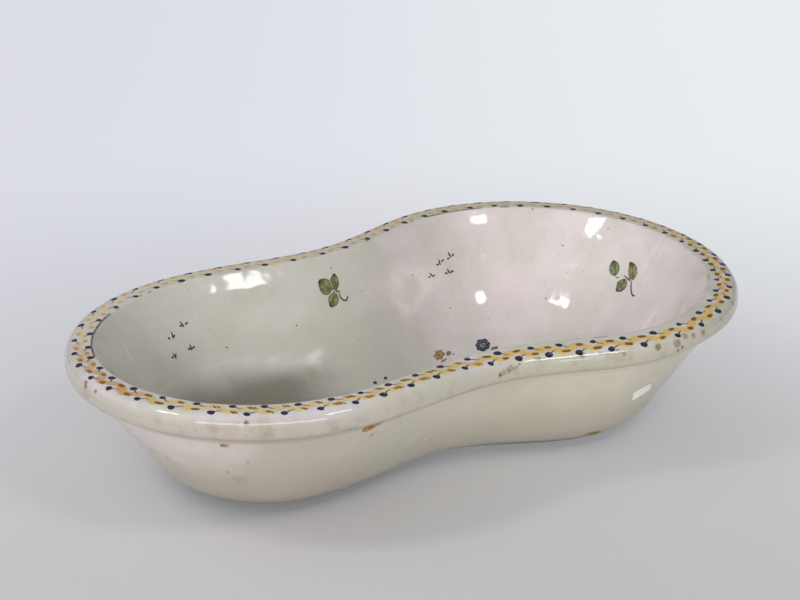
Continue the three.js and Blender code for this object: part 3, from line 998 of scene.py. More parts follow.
petals = []
PETALS = 7
for number in range(PETALS):
    angle = 2 * np.pi * number / PETALS + 0.3
    point = np.array([0.92 * np.cos(angle), 1.12 * np.sin(angle)])
    petals.append(leaf(ROSETTE_PLACE, 1.8 * point, 7.2 * point, 7.4))
ochre_petals = []
for number in range(PETALS - 1):
    angle = 2 * np.pi * number / (PETALS - 1) + 0.9
    point = np.array([1.12 * np.cos(angle), 0.9 * np.sin(angle) - 0.15 * np.cos(angle)])
    ochre_petals.append(leaf(BLOOM_PLACE, 0.8 * point, 6.6 * point, 5.8))
hearts = [
    (ROSETTE_PLACE, ((-2.3, 0.4), (0.0, 0.0), (2.3, -0.4)), (1.6, 4.6, 1.6)),
    (BLOOM_PLACE, ((-2.2, 0.3), (0.0, 0.0), (2.2, -0.3)), (1.2, 3.4, 1.2)),
]

# %% Seedlings
SEEDLING_PLACES = (
    (3.103, 80.5), (3.187, 74.6), (3.103, 63.2), (3.213, 61.3), (1.070, 73.3), (0.983, 75.4), (1.157, 64.5),
    (1.003, 65.0), (4.86, 72.0), (4.95, 66.0), (4.80, 60.0), (6.72, 72.0), (6.80, 65.0), (6.65, 60.0),
)
SEEDLING_STROKES = (
    (((-4.0, 1.0), (-1.4, -0.4)), (0.9, 2.1, 1.1)),
    (((-1.3, 4.0), (0.4, -1.6)), (0.7, 1.8, 1.2)),
    (((1.1, -0.4), (3.8, 1.6)), (1.1, 2.1, 0.9)),
)
for place in SEEDLING_PLACES:
    for points, widths in SEEDLING_STROKES:
        nudge = random.normal(0, 0.4, 2)
        lean = random.normal(0, 0.25)
        turn = np.array([[math.cos(lean), -math.sin(lean)], [math.sin(lean), math.cos(lean)]])
        stems.append((place, [turn @ np.array(point) + nudge for point in points], widths))

# %% Buds, flaws and the painted pieces
BUD_PLACES = ((1.797, 19.6), (1.897, 19.5), (1.70, 14.0))
buds = [(place, ((-1.9, 0.2), (0.0, 0.0), (1.9, -0.2)), (1.6, 3.6, 1.6)) for place in BUD_PLACES]
# Flaws in the glaze: dark specks, and a pale crack that runs down the front end.
SPECK_PLACES = (
    (2.867, 59.7), (1.333, 71.5), (0.427, 83.8), (0.587, 106.0), (0.440, 44.4), (1.040, 38.8), (2.30, 66.0),
    (5.60, 70.0), (6.95, 52.0), (7.45, 80.0),
)
specks_drawn = [(place, ((-0.7, 0.1), (0.0, 0.0), (0.7, -0.1)), (0.8, 1.7, 0.8)) for place in SPECK_PLACES]
CRACK_PLACE = (3.50, 86.0)
CRACK_COURSE = ((1.6, 11.0), (0.6, 4.0), (-0.4, -6.0), (-1.6, -16.0), (-1.2, -26.0), (-2.0, -34.0))
cracks = [(CRACK_PLACE, CRACK_COURSE, (0.8, 1.8, 2.4, 1.6, 2.2, 0.8))]
leaf_piece = slab_piece("green_leaves", "painted_glaze", *wall_strokes(leaves, 9, 7, PAINT_LIFT))
stem_piece = slab_piece("brown_stems", "painted_glaze", *wall_strokes(stems, 9, 3, 1.6 * PAINT_LIFT))
petal_piece = slab_piece("blue_petals", "painted_glaze", *wall_strokes(petals + buds, 7, 5, PAINT_LIFT))
bloom_piece = slab_piece("ochre_petals", "painted_glaze", *wall_strokes(ochre_petals, 7, 5, PAINT_LIFT))
heart_piece = slab_piece("flower_hearts", "painted_glaze", *wall_strokes(hearts, 5, 5, 2.5 * PAINT_LIFT))
speck_piece = slab_piece("glaze_specks", "painted_glaze", *wall_strokes(specks_drawn, 5, 5, PAINT_LIFT))
crack_piece = slab_piece("glaze_crack", "painted_glaze", *wall_strokes(cracks, 40, 3, PAINT_LIFT))

# %% [markdown]
# ## The paper label
#
# A small blank paper label is pasted on the outside of the back lobe. Paper this thin follows the wall,
# and its corners have begun to lift, so it is a slab like the brushstrokes, only thicker, with a lift
# that grows towards two of its corners. It was stuck on crooked.

# %% The paper label
label_low, label_high = box_mm("paper_label")
LABEL_LENGTH = 18.0
LABEL_HEIGHT = 12.0
LABEL_THICKNESS = 0.14
LABEL_GLUE = 0.03
LABEL_CURL = 0.35
LABEL_TILT = math.radians(25)
LABEL_ROWS, LABEL_COLUMNS = 11, 19
label_middle = (label_low + label_high) / 2
near_places = np.linspace(6.2, 7.6, 141)  # the stretch of the plan that the label is looked for in
near_wall = section(near_places)[:CREASE_ROW]
level_row = np.abs(near_wall[..., 2] - label_middle[2]).argmin(axis=0)
LABEL_T = np.interp(label_middle[0], near_wall[level_row, np.arange(len(near_places)), 0], near_places)
print(f"the label's middle lies at t = {LABEL_T:.3f}")


def paper_label():
    """A slab of paper whose lift grows with the fourth power of the way to two of its corners."""
    rows, columns = np.linspace(-0.5, 0.5, LABEL_ROWS), np.linspace(-0.5, 0.5, LABEL_COLUMNS)
    up, right = np.meshgrid(rows * LABEL_HEIGHT, columns * LABEL_LENGTH, indexing="ij")
    corner = right / LABEL_LENGTH + up / LABEL_HEIGHT
    glue = LABEL_GLUE + LABEL_CURL * (np.clip(corner, 0, 1) ** 4 + 0.5 * np.clip(-corner, 0, 1) ** 4)
    level = right * math.cos(LABEL_TILT) - up * math.sin(LABEL_TILT)
    rise = right * math.sin(LABEL_TILT) + up * math.cos(LABEL_TILT)
    bottom = on_wall(LABEL_T, label_middle[2], level, rise, glue, inner=False)
    top = on_wall(LABEL_T, label_middle[2], level, rise, glue + LABEL_THICKNESS, inner=False)
    uv = np.stack([right / LABEL_LENGTH + 0.5, up / LABEL_HEIGHT + 0.5], axis=-1)
    return slab_piece("label_paper", "label_paper", top[None], bottom[None], uv[None], ("paper_label",))


label = paper_label()

# %% [markdown]
# ## Materials
#
# Tin glaze is a lead glaze made white and opaque by tin oxide. It pools and thins, so its colour drifts:
# greenish grey where it is thick in the front of the bowl, pink where it is thin over the red clay at the
# back, lavender on the band. Its surface is glass, with an IOR of 1.5 and sharp highlights, and it is
# pitted by pinholes and dark specks of iron. The pigments were painted on the raw glaze and melted into
# it, so they share its gloss. Colours are sRGB hex values, turned to linear by one function, and each
# pattern's scale comes from a size in millimetres.

# %% Colours and nodes
def linear(hex_colour):
    """The linear colour of an sRGB hex value: up to 0.04045 over 12.92, above it by a power of 2.4."""
    channels = [int(hex_colour[start:start + 2], 16) / 255 for start in (1, 3, 5)]
    return (*(c / 12.92 if c <= 0.04045 else ((c + 0.055) / 1.055) ** 2.4 for c in channels), 1.0)


def per_metre(size_mm):
    """The scale of a pattern whose features are this many millimetres apart."""
    return 1 / (size_mm * MM)


def add(tree, kind, *inputs, out=0, **settings):
    """Adds a node with its settings, fills its inputs from pairs of socket and value, and gives one output.

    A value may be a number, a colour's hex value, or another node's output, which is then linked.
    """
    node = tree.nodes.new("ShaderNode" + kind)
    for name, value in settings.items():
        setattr(node, name, value)
    for socket, value in inputs:
        if isinstance(value, bpy.types.NodeSocket):
            tree.links.new(value, node.inputs[socket])
        else:
            node.inputs[socket].default_value = linear(value) if isinstance(value, str) else value
    return node.outputs[out] if len(node.outputs) else node


def new_material(name):
    """An empty material and its tree, ready for nodes."""
    material = bpy.data.materials.new(name)
    material.use_nodes = True
    material.node_tree.nodes.clear()
    return material, material.node_tree


# Shorthands for the mix of two colours, for a smooth range, and for two sums.
COLOUR = dict(data_type="RGBA", out=2)
SMOOTH = dict(interpolation_type="SMOOTHSTEP")
TIMES = dict(operation="MULTIPLY")
TIMES_PLUS = dict(operation="MULTIPLY_ADD")
LARGER = dict(operation="MAXIMUM")

# %% The colour of the glaze
# On the outside the front lobe is painted darker as shade and its tip lighter as painted light, and the low
# colour darkens the wall towards the foot as painted shade.
OUTSIDE_TIP_LIT = "#DAD0CC"
OUTSIDE_FRONT = "#BFB6AE"
OUTSIDE_BACK = "#DAD3C4"
OUTSIDE_LOW_SHADE = "#A49B8F"
BAND_WHITE = "#DAD6DF"
BAND_CREAM = "#D2CFC4"
BOWL_GREY = "#D0CDC4"
BOWL_PINK = "#E7DCDC"
# The lip's greys, darker than the band's white, are partly the glaze's own colour and partly painted shade.
LIP_FRONT = "#BFB6AF"
LIP_BACK = "#BFBAAB"
# Grime smeared on the lip, which turns into painted shade towards the lip's lower edge.
LIP_GRIME_AND_SHADE = "#94836F"
# Painted shade on the wall just under the lip.
UNDER_LIP = "#7E7468"
UNDER_LIP_STRENGTH = (0.55, 0.15)  # at the front and at the back
DRIFT = 0.16  # how far, in metres, the noise can shift a colour along the basin
# Where one colour gives way to the next, along the basin or up: from and to, in metres, and how far.
# Of these, tip lays painted light on the front tip, and low and under lay painted shade towards the foot and
# on the lip's lower edge.
STRETCHES = (
    ("tip", "along", -0.10, -0.150, 1.0),
    ("back", "along", -0.08, 0.06, 1.0),
    ("pink", "along", 0.06, 0.24, 1.0),
    ("low", "up", 0.075, 0.01, 0.7),
    ("lip", "up", 0.085, 0.091, 1.0),
    ("under", "up", 0.0935, 0.0890, 1.0),
)
# Clouds in the glaze: size in millimetres, detail, the noise between which they come up, strength and colour.
CLOUDS = (
    (22, 4.0, 0.35, 0.75, 0.22, "#BEB7A9"), (55, 4.0, 0.45, 0.62, 0.28, "#B4B8A0"),
    (3.5, 3.0, 0.35, 0.75, 0.12, "#ADA59A"),
)

# %% The glaze's colour at each place
def glaze_colour(tree):
    """The glaze's colour: outside, band and inside, each drifting along the basin, with painted light and
    shade on the outside, then its clouds.
    """
    place = add(tree, "TexCoord", out="Object")
    split = add(tree, "SeparateXYZ", ("Vector", place)).node.outputs
    drift, smear, wide = (
        add(tree, "TexNoise", ("Vector", place), ("Scale", per_metre(size)), ("Detail", detail))
        for size, detail in ((90, 3.0), (14, 6.0), (45, 2.0))
    )
    course = dict(along=add(tree, "Math", (0, drift), (1, DRIFT), (2, split[0]), **TIMES_PLUS), up=split[2])
    share = {}
    for name, way, start, end, most in STRETCHES:
        pairs = ("From Min", start), ("From Max", end), ("To Max", most)
        share[name] = add(tree, "MapRange", ("Value", course[way]), *pairs, **SMOOTH)

    # The outside: its drift, painted shade on the front lobe and painted light on its tip, painted shade
    # towards the foot and under the lip, and the lip, its greys partly painted shade, with smears of grime
    # that deepen into painted shade towards its lower edge.
    front, back = UNDER_LIP_STRENGTH
    deep = add(tree, "MapRange", ("Value", share["back"]), ("To Min", front), ("To Max", back))
    pairs = ("From Min", 0.079), ("From Max", 0.0845), ("To Max", deep)
    shade = add(tree, "MapRange", ("Value", split[2]), *pairs, **SMOOTH)
    lip = add(tree, "Mix", (0, share["back"]), (6, LIP_FRONT), (7, LIP_BACK), **COLOUR)
    smear = add(tree, "MapRange", ("Value", smear), ("From Min", 0.52), ("From Max", 0.72), ("To Max", 0.6))
    smear = add(tree, "Math", (0, share["under"]), (1, 0.45), (2, smear), **TIMES_PLUS)
    smear = add(tree, "Math", (0, smear), (1, share["lip"]), **TIMES)
    outside = OUTSIDE_FRONT
    for cover, coat in (
        (share["tip"], OUTSIDE_TIP_LIT), (share["back"], OUTSIDE_BACK), (share["low"], OUTSIDE_LOW_SHADE),
        (shade, UNDER_LIP), (share["lip"], lip), (smear, LIP_GRIME_AND_SHADE),
    ):
        outside = add(tree, "Mix", (0, cover), (6, outside), (7, coat), **COLOUR)

    # The band and the inside, then all three by the side that each point is on.
    creamy = add(tree, "Math", (0, share["back"]), (1, 0.16), (2, wide), **TIMES_PLUS)
    creamy = add(tree, "MapRange", ("Value", creamy), ("From Min", 0.42), ("From Max", 0.68))
    band = add(tree, "Mix", (0, creamy), (6, BAND_WHITE), (7, BAND_CREAM), **COLOUR)
    inside = add(tree, "Mix", (0, share["pink"]), (6, BOWL_GREY), (7, BOWL_PINK), **COLOUR)
    side = add(tree, "Attribute", out="Fac", attribute_name="inside")
    colour = outside
    for next_colour, start, end in ((band, 0.0, 0.5), (inside, 0.5, 1.0)):
        cover = add(tree, "MapRange", ("Value", side), ("From Min", start), ("From Max", end))
        colour = add(tree, "Mix", (0, cover), (6, colour), (7, next_colour), **COLOUR)
    for size, detail, start, end, most, cloud in CLOUDS:
        noise = add(tree, "TexNoise", ("Vector", place), ("Scale", per_metre(size)), ("Detail", detail))
        pairs = ("From Min", start), ("From Max", end), ("To Max", most)
        cover = add(tree, "MapRange", ("Value", noise), *pairs)
        colour = add(tree, "Mix", (0, cover), (6, colour), (7, cloud), **COLOUR)
    return colour

# %% A glassy surface
GLOSS = 0.10  # the roughness of clean glaze
GLASS_IOR = 1.5


def glossy(tree, colour, roughness=GLOSS, pits=0.0):
    """A glassy surface: the colour under a clear skin, lumpy, finely rippled and pitted as a run glaze is."""
    place = add(tree, "TexCoord", out="Object")
    peel, lumps = (
        add(tree, "TexNoise", ("Vector", place), ("Scale", per_metre(size)), ("Detail", detail))
        for size, detail in ((2.2, 2.0), (17, 1.0))
    )
    height = add(tree, "Math", (0, peel), (1, pits), operation="SUBTRACT")
    lumpy = add(tree, "Bump", ("Strength", 1.0), ("Distance", 0.0007), ("Height", lumps))
    bump = add(tree, "Bump", ("Strength", 0.07), ("Distance", 0.0002), ("Height", height), ("Normal", lumpy))
    pairs = ("Base Color", colour), ("Roughness", roughness), ("IOR", GLASS_IOR), ("Normal", bump)
    add(tree, "OutputMaterial", ("Surface", add(tree, "BsdfPrincipled", *pairs)))


# %% Specks, and painted shade with duller glaze low in the front lobe
def specks(tree, spacing_mm, radius_mm, share, offset):
    """Dots on some of the cells of a Voronoi pattern: 1 inside a dot and 0 outside."""
    place = add(tree, "TexCoord", out="Object")
    moved = add(tree, "Mapping", ("Vector", place), ("Location", (offset, offset, offset)))
    pairs = ("Vector", moved), ("Scale", per_metre(spacing_mm))
    cells = add(tree, "TexVoronoi", *pairs, feature="F1").node.outputs
    chosen = add(tree, "SeparateXYZ", ("Vector", cells["Color"]))
    reach = radius_mm / spacing_mm
    pairs = ("From Min", 0.6 * reach), ("From Max", reach), ("To Min", 1.0), ("To Max", 0.0)
    dot = add(tree, "MapRange", ("Value", cells["Distance"]), *pairs)
    picked = add(tree, "Math", (0, chosen), (1, share), operation="LESS_THAN")
    return add(tree, "Math", (0, dot), (1, picked), **TIMES)


# Where the painted shade and the duller glaze lie: a place's coordinate, how far in metres the border
# wanders, and from where to where.
SHADE_AND_DULL_FRONT = (0, 0.05, 0.025, -0.06)
SHADE_AND_DULL_FAR = (1, 0.0, 0.0, 0.05)


def shade_and_dulling(tree, place, untouched_height, full_height):
    """How much painted shade and duller glaze a place gets: most low in the front lobe, on the far side, with
    a wandering border.
    """
    wander = add(tree, "TexNoise", ("Vector", place), ("Scale", per_metre(40)), ("Detail", 3.0))
    split = add(tree, "SeparateXYZ", ("Vector", place)).node.outputs
    amount = add(tree, "Attribute", out="Fac", attribute_name="inside")
    for axis, reach, start, end in ((2, 0.012, untouched_height, full_height), SHADE_AND_DULL_FRONT, SHADE_AND_DULL_FAR):
        value = add(tree, "Math", (0, wander), (1, reach), (2, split[axis]), **TIMES_PLUS)
        part = add(tree, "MapRange", ("Value", value), ("From Min", start), ("From Max", end), **SMOOTH)
        amount = add(tree, "Math", (0, amount), (1, part), **TIMES)
    return amount


# %% The glaze of the body
CLAY = "#B8935A"
CLAY_DARK = "#7A5830"
BRUISE_OLIVE = "#8B7B4C"
BRUISE_RUST = "#94714A"
SPECK_BROWN = "#4A3A30"
LOW_FRONT_SHADE_GREY = "#6E6555"
WORN_BROWN = "#4B3A2A"
FOOT_SHADE = "#3E372B"
# Three sizes of speck: spacing and radius in millimetres, the share of cells that have one, and an offset.
SPECKS = ((16.0, 0.9, 0.13, 1.0), (8.0, 0.55, 0.12, 3.0), (4.0, 0.35, 0.10, 2.0))
SHADE_HEIGHTS = (0.056, 0.032)  # in metres: no painted shade above the first, full painted shade below the second
DULL_HEIGHTS = (0.085, 0.035)  # the same for the dulling by water
ROUGH_CLEAN, ROUGH_DULL, ROUGH_CLAY = 0.09, 0.38, 0.8


def glaze_material(name):
    """Tin glaze with specks, pinholes, bruises, a worn arris, places where it has come off the clay, and
    painted shade by the foot and low in the front lobe.
    """
    material, tree = new_material(name)
    place = add(tree, "TexCoord", out="Object")
    up = add(tree, "SeparateXYZ", ("Vector", place)).node.outputs[2]
    fine, rusty, patches, rubbed = (
        add(tree, "TexNoise", ("Vector", place), ("Scale", per_metre(size)), ("Detail", detail))
        for size, detail in ((1.6, 3.0), (12, 1.0), (2.4, 4.0), (7, 3.0))
    )
    stain, wear, knock, inner = (
        add(tree, "Attribute", out="Fac", attribute_name=kind)
        for kind in ("bruised", "worn", "knocked", "inside")
    )
    # Painted shade low in the front lobe, on the far side.
    low_front_shade = add(tree, "Math", (0, shade_and_dulling(tree, place, *SHADE_HEIGHTS)), (1, 0.8), **TIMES)

    # Bruises are olive to rust, and darkest in their middle.
    grain = add(tree, "MapRange", ("Value", fine), ("From Min", 0.25), ("From Max", 0.6), ("To Min", 0.65))
    stain = add(tree, "Math", (0, stain), (1, grain), **TIMES)
    rusty = add(tree, "MapRange", ("Value", rusty), ("From Min", 0.4), ("From Max", 0.6))
    rust = add(tree, "Mix", (0, rusty), (6, BRUISE_OLIVE), (7, BRUISE_RUST), **COLOUR)
    deep = add(tree, "MapRange", ("Value", stain), ("From Min", 0.50), ("From Max", 0.95), ("To Max", 0.65))
    rust = add(tree, "Mix", (0, deep), (6, rust), (7, SPECK_BROWN), **COLOUR)

    # Specks and pinholes, in three sizes.
    dots = specks(tree, *SPECKS[0])
    for size in SPECKS[1:]:
        dots = add(tree, "Math", (0, dots), (1, specks(tree, *size)), **LARGER)
    faint = add(tree, "Math", (0, dots), (1, 0.8), **TIMES)

    # A ring of dirt round each knock, and the bare clay inside it, which is sandy buff with darker patches.
    knock = add(tree, "Math", (0, fine), (1, 0.3), (2, knock), **TIMES_PLUS)
    ring = add(tree, "MapRange", ("Value", knock), ("From Min", 0.05), ("From Max", 0.17), ("To Max", 0.5))
    broken = add(tree, "MapRange", ("Value", knock), ("From Min", 0.17), ("From Max", 0.23))
    patches = add(tree, "MapRange", ("Value", patches), ("From Min", 0.40), ("From Max", 0.65))
    clay = add(tree, "Mix", (0, patches), (6, CLAY), (7, CLAY_DARK), **COLOUR)

    # The base was wiped before the firing, so the lowest millimetre is bare. Just above it, the outside is
    # darkened with painted shade where it curves in to the floor.
    rubbed = add(tree, "Math", (0, rubbed), (1, 0.0012), (2, up), **TIMES_PLUS)
    wiped = add(tree, "MapRange", ("Value", rubbed), ("From Min", 0.0011), ("From Max", 0.0006))
    pairs = ("From Min", 0.0120), ("From Max", 0.0060), ("To Max", 0.9)
    foot = add(tree, "MapRange", ("Value", up), *pairs, **SMOOTH)
    outer = add(tree, "MapRange", ("Value", inner), ("From Max", 0.1), ("To Min", 1.0), ("To Max", 0.0))
    foot = add(tree, "Math", (0, foot), (1, outer), **TIMES)

    colour = glaze_colour(tree)
    for cover, coat in (
        (low_front_shade, LOW_FRONT_SHADE_GREY), (stain, rust), (faint, SPECK_BROWN), (wear, WORN_BROWN),
        (ring, CLAY_DARK), (broken, clay), (wiped, clay), (foot, FOOT_SHADE),
    ):
        colour = add(tree, "Mix", (0, cover), (6, colour), (7, coat), **COLOUR)
    pairs = ("To Min", ROUGH_CLEAN), ("To Max", ROUGH_DULL)
    dull = add(tree, "MapRange", ("Value", shade_and_dulling(tree, place, *DULL_HEIGHTS)), *pairs)
    bare = add(tree, "Math", (0, broken), (1, wiped), **LARGER)
    roughness = add(tree, "MapRange", ("Value", bare), ("To Min", dull), ("To Max", ROUGH_CLAY))
    glossy(tree, colour, roughness, add(tree, "Math", (0, dots), (1, 2.0), **TIMES))
    return material


tin_glaze = glaze_material("tin_glaze")
for piece in (rim, bowl):
    piece.data.materials.append(tin_glaze)
print("glaze:", len(tin_glaze.node_tree.nodes), "nodes")

# %% [markdown]
# ## The pigments
#
# High-fired faience has few colours: cobalt gives the blue-black, antimony and iron the ochre yellow,
# manganese the brown, copper the green. A brush leaves more colour where it stops and less at its edges,
# where the pigment bleeds into the glaze. So every stroke carries a UV map, one number across it and one
# along it, and its colour fades to the glaze's own at the edges.

# %% Pigments
WAVER = 0.4  # how much the border of a stroke wavers


def faded(tree, edge_share, ends=True):
    """0 at a stroke's edge and 1 inside it, from its UV map, with a wavering border.

    The share of the way from the edge to the middle is 1 - |2 u - 1|, and the same for v where the ends
    fade too.
    """
    uv = add(tree, "UVMap", uv_map="stroke")
    inwards = []
    for share in add(tree, "SeparateXYZ", ("Vector", uv)).node.outputs[:2]:
        offset = add(tree, "Math", (0, share), (1, 2.0), (2, -1.0), **TIMES_PLUS)
        offset = add(tree, "Math", (0, offset), operation="ABSOLUTE")
        inwards.append(add(tree, "Math", (0, 1.0), (1, offset), operation="SUBTRACT"))
    across = inwards[0]
    if ends:
        along = add(tree, "Math", (0, inwards[1]), (1, 1.6), **TIMES)
        across = add(tree, "Math", (0, across), (1, along), operation="MINIMUM")
    place = add(tree, "TexCoord", out="Object")
    noise = add(tree, "TexNoise", ("Vector", place), ("Scale", per_metre(0.9)), ("Detail", 2.0))
    noise = add(tree, "MapRange", ("Value", noise), ("To Min", -WAVER / 2), ("To Max", WAVER / 2))
    across = add(tree, "Math", (0, across), (1, noise), operation="ADD")
    return add(tree, "MapRange", ("Value", across), ("From Max", edge_share), **SMOOTH)


def patched(tree, size_mm, most=1.0):
    """Patches of a given size, from 0 to the most, where a brush left more or less colour."""
    place = add(tree, "TexCoord", out="Object")
    noise = add(tree, "TexNoise", ("Vector", place), ("Scale", per_metre(size_mm)), ("Detail", 3.0))
    return add(tree, "MapRange", ("Value", noise), ("From Min", 0.35), ("From Max", 0.65), ("To Max", most))


def far_side(tree, near_value, far_value):
    """A number that changes from the near side to the far side, where the painter's brush ran dry."""
    across = add(tree, "SeparateXYZ", ("Vector", add(tree, "TexCoord", out="Object"))).node.outputs[1]
    pairs = ("From Min", -0.05), ("From Max", 0.09), ("To Min", near_value), ("To Max", far_value)
    return add(tree, "MapRange", ("Value", across), *pairs, **SMOOTH)

# %% The ochre wash
OCHRE_PALE = "#E3CD8C"
OCHRE_DEEP = "#CBA75E"
OCHRE_TAN = "#CC9C62"
OCHRE_WARM = "#DDBB6E"
OCHRE_DRY = "#DFD3C0"


def ochre_wash(tree):
    """Ochre: pale along the front lobe, tan at its tip, warmer at the back, patchy, thin far off."""
    along = add(tree, "SeparateXYZ", ("Vector", add(tree, "TexCoord", out="Object"))).node.outputs[0]
    back, front = (
        add(tree, "MapRange", ("Value", along), ("From Min", start), ("From Max", end), **SMOOTH)
        for start, end in ((-0.10, 0.03), (-0.236, -0.252))
    )
    wash = OCHRE_PALE
    for cover, coat in (
        (back, OCHRE_WARM), (front, OCHRE_TAN), (patched(tree, 5, 0.45), OCHRE_DEEP),
        (far_side(tree, 0.0, 0.6), OCHRE_DRY),
    ):
        wash = add(tree, "Mix", (0, cover), (6, wash), (7, coat), **COLOUR)
    return wash

# %% A pigment
def pigment(name, colours, edge_share, patch_mm=2.5, strength=(1.0, 1.0), ground=glaze_colour):
    """A pigment melted into the glaze, or into the wash under it: patches, a bleeding edge, and its gloss.

    The colours are its deep one, its pale one and its edge's. The strength is for the near and the far side.
    """
    material, tree = new_material(name)
    deep, pale, edge = colours
    inside = faded(tree, edge_share)
    body = add(tree, "Mix", (0, patched(tree, patch_mm)), (6, deep), (7, pale), **COLOUR)
    inner = add(tree, "MapRange", ("Value", inside), ("From Min", 0.35), ("From Max", 0.95))
    stroke = add(tree, "Mix", (0, inner), (6, edge), (7, body), **COLOUR)
    cover = add(tree, "MapRange", ("Value", inside), ("From Max", 0.5), ("To Max", far_side(tree, *strength)))
    glossy(tree, add(tree, "Mix", (0, cover), (6, ground(tree)), (7, stroke), **COLOUR))
    return material


# %% The ribbon's ochre
def ribbon_pigment():
    """The ochre wash, melted into the glaze along its edges."""
    material, tree = new_material("ochre_pigment")
    inside = faded(tree, 0.3, ends=False)
    cover = add(tree, "MapRange", ("Value", inside), ("From Max", 0.7), ("To Max", 0.95))
    glossy(tree, add(tree, "Mix", (0, cover), (6, glaze_colour(tree)), (7, ochre_wash(tree)), **COLOUR))
    return material


# %% The leaves' green
LEAF_DEEP = "#565A34"
LEAF_PALE = "#8E9663"
LEAF_DARK = "#2B2E1D"
LEAF_LINE = "#3C3728"


def leaf_pigment():
    """Copper green: a dark outline and vein, a dark blot at the tip and a light patch between."""
    material, tree = new_material("copper_green_pigment")
    inside = faded(tree, 0.3)
    shares = add(tree, "SeparateXYZ", ("Vector", add(tree, "UVMap", uv_map="stroke"))).node.outputs
    tip, base = (
        add(tree, "MapRange", ("Value", shares[1]), ("From Min", start), ("From Max", end), ("To Max", most))
        for start, end, most in ((0.66, 0.92, 0.92), (0.26, 0.04, 0.6))
    )
    offset = add(tree, "Math", (0, shares[0]), (1, 2.0), (2, -0.9), **TIMES_PLUS)
    offset = add(tree, "Math", (0, offset), operation="ABSOLUTE")
    pairs = ("From Min", 0.04), ("From Max", 0.24), ("To Min", 0.45), ("To Max", 0.0)
    vein = add(tree, "MapRange", ("Value", offset), *pairs)
    body = LEAF_DEEP
    for cover, coat in (
        (patched(tree, 4), LEAF_PALE), (tip, LEAF_DARK), (base, LEAF_LINE), (vein, LEAF_DARK),
    ):
        body = add(tree, "Mix", (0, cover), (6, body), (7, coat), **COLOUR)
    outline = add(tree, "MapRange", ("Value", inside), ("From Min", 0.4), ("From Max", 0.95))
    body = add(tree, "Mix", (0, outline), (6, LEAF_LINE), (7, body), **COLOUR)
    cover = add(tree, "MapRange", ("Value", inside), ("From Max", 0.35))
    glossy(tree, add(tree, "Mix", (0, cover), (6, glaze_colour(tree)), (7, body), **COLOUR))
    return material


# %% Which pigment goes where
COBALT = ("#1E1A2C", "#302A40", "#4C465A")
THIN_COBALT = ("#2E2838", "#544A52", "#726870")
UMBER = ("#5E3E22", "#94652F", "#9A7236")
MANGANESE = ("#3E322C", "#5E4C44", "#7E6E64")
PETAL_BLUE = ("#161628", "#34445E", "#12111C")
BLOOM_OCHRE = ("#8F6E36", "#B39450", "#6B4A26")
HEART_OLIVE = ("#3E4330", "#8A8C62", "#1E1C20")
IRON = ("#2E2420", "#4A3A30", "#6B5C4E")
PALE_CRACK = ("#E2DFD6", "#D4D1C7", "#D2CEC4")
ON_BAND, ON_WALL = 0.5, 1.0
painted = (
    (border_ribbon, ON_BAND, ribbon_pigment()),
    (ovals, ON_BAND, pigment("cobalt_pigment", COBALT, 0.28, 1.5)),
    (tails, ON_BAND, pigment("thin_cobalt_pigment", THIN_COBALT, 0.45, 2.0, (0.95, 0.75))),
    (marks, ON_BAND, pigment("umber_pigment", UMBER, 0.4, 1.8, (1.0, 0.35), ochre_wash)),
    (leaf_piece, ON_WALL, leaf_pigment()),
    (stem_piece, ON_WALL, pigment("manganese_pigment", MANGANESE, 0.4, 1.5)),
    (petal_piece, ON_WALL, pigment("cobalt_petal_pigment", PETAL_BLUE, 0.30, 3.5)),
    (bloom_piece, ON_WALL, pigment("ochre_flower_pigment", BLOOM_OCHRE, 0.45, 2.0)),
    (heart_piece, ON_WALL, pigment("heart_pigment", HEART_OLIVE, 0.5, 1.2)),
    (speck_piece, ON_WALL, pigment("iron_speck", IRON, 0.5)),
    (crack_piece, ON_WALL, pigment("pale_crack", PALE_CRACK, 0.7)),
)
for piece, side, material in painted:
    piece.data.materials.append(material)
    set_attribute(piece, "inside", np.full(len(piece.data.vertices), side))

# %% The label's paper
PAPER_WHITE, PAPER_GREY, PAPER_EDGE = "#F6F6F5", "#E2E0DC", "#C6BEAE"


def paper_material():
    """Cheap white paper: matt, faintly mottled, a little browner towards its edges."""
    material, tree = new_material("label_paper")
    inside = faded(tree, 0.16)
    place = add(tree, "TexCoord", out="Object")
    fibres = add(tree, "TexNoise", ("Vector", place), ("Scale", per_metre(0.5)), ("Detail", 3.0))
    pale = add(tree, "MapRange", ("Value", fibres), ("From Min", 0.3), ("From Max", 0.7), ("To Max", 0.25))
    white = add(tree, "Mix", (0, pale), (6, PAPER_WHITE), (7, PAPER_GREY), **COLOUR)
    colour = add(tree, "Mix", (0, inside), (6, PAPER_EDGE), (7, white), **COLOUR)
    bump = add(tree, "Bump", ("Strength", 0.3), ("Distance", 0.0001), ("Height", fibres))
    paper = add(tree, "BsdfPrincipled", ("Base Color", colour), ("Roughness", 0.75), ("Normal", bump))
    add(tree, "OutputMaterial", ("Surface", paper))
    return material


label.data.materials.append(paper_material())

# %% [markdown]
# ## The stage
#
# The photograph shows the basin on pale paper that sweeps up behind it without a line, lit by soft lamps.
# Here it is a wide floor. Near the basin it is pale grey paper that takes the shadow. Away from it the
# paper turns, for the camera and for reflections only, into the even bright grey of the backdrop, so that
# no edge or horizon shows. To the light that bounces off it the paper is nearly white, as the sheet in
# front of the camera was. The world is pale too, which fills the shadows, as the white walls of a studio
# do.

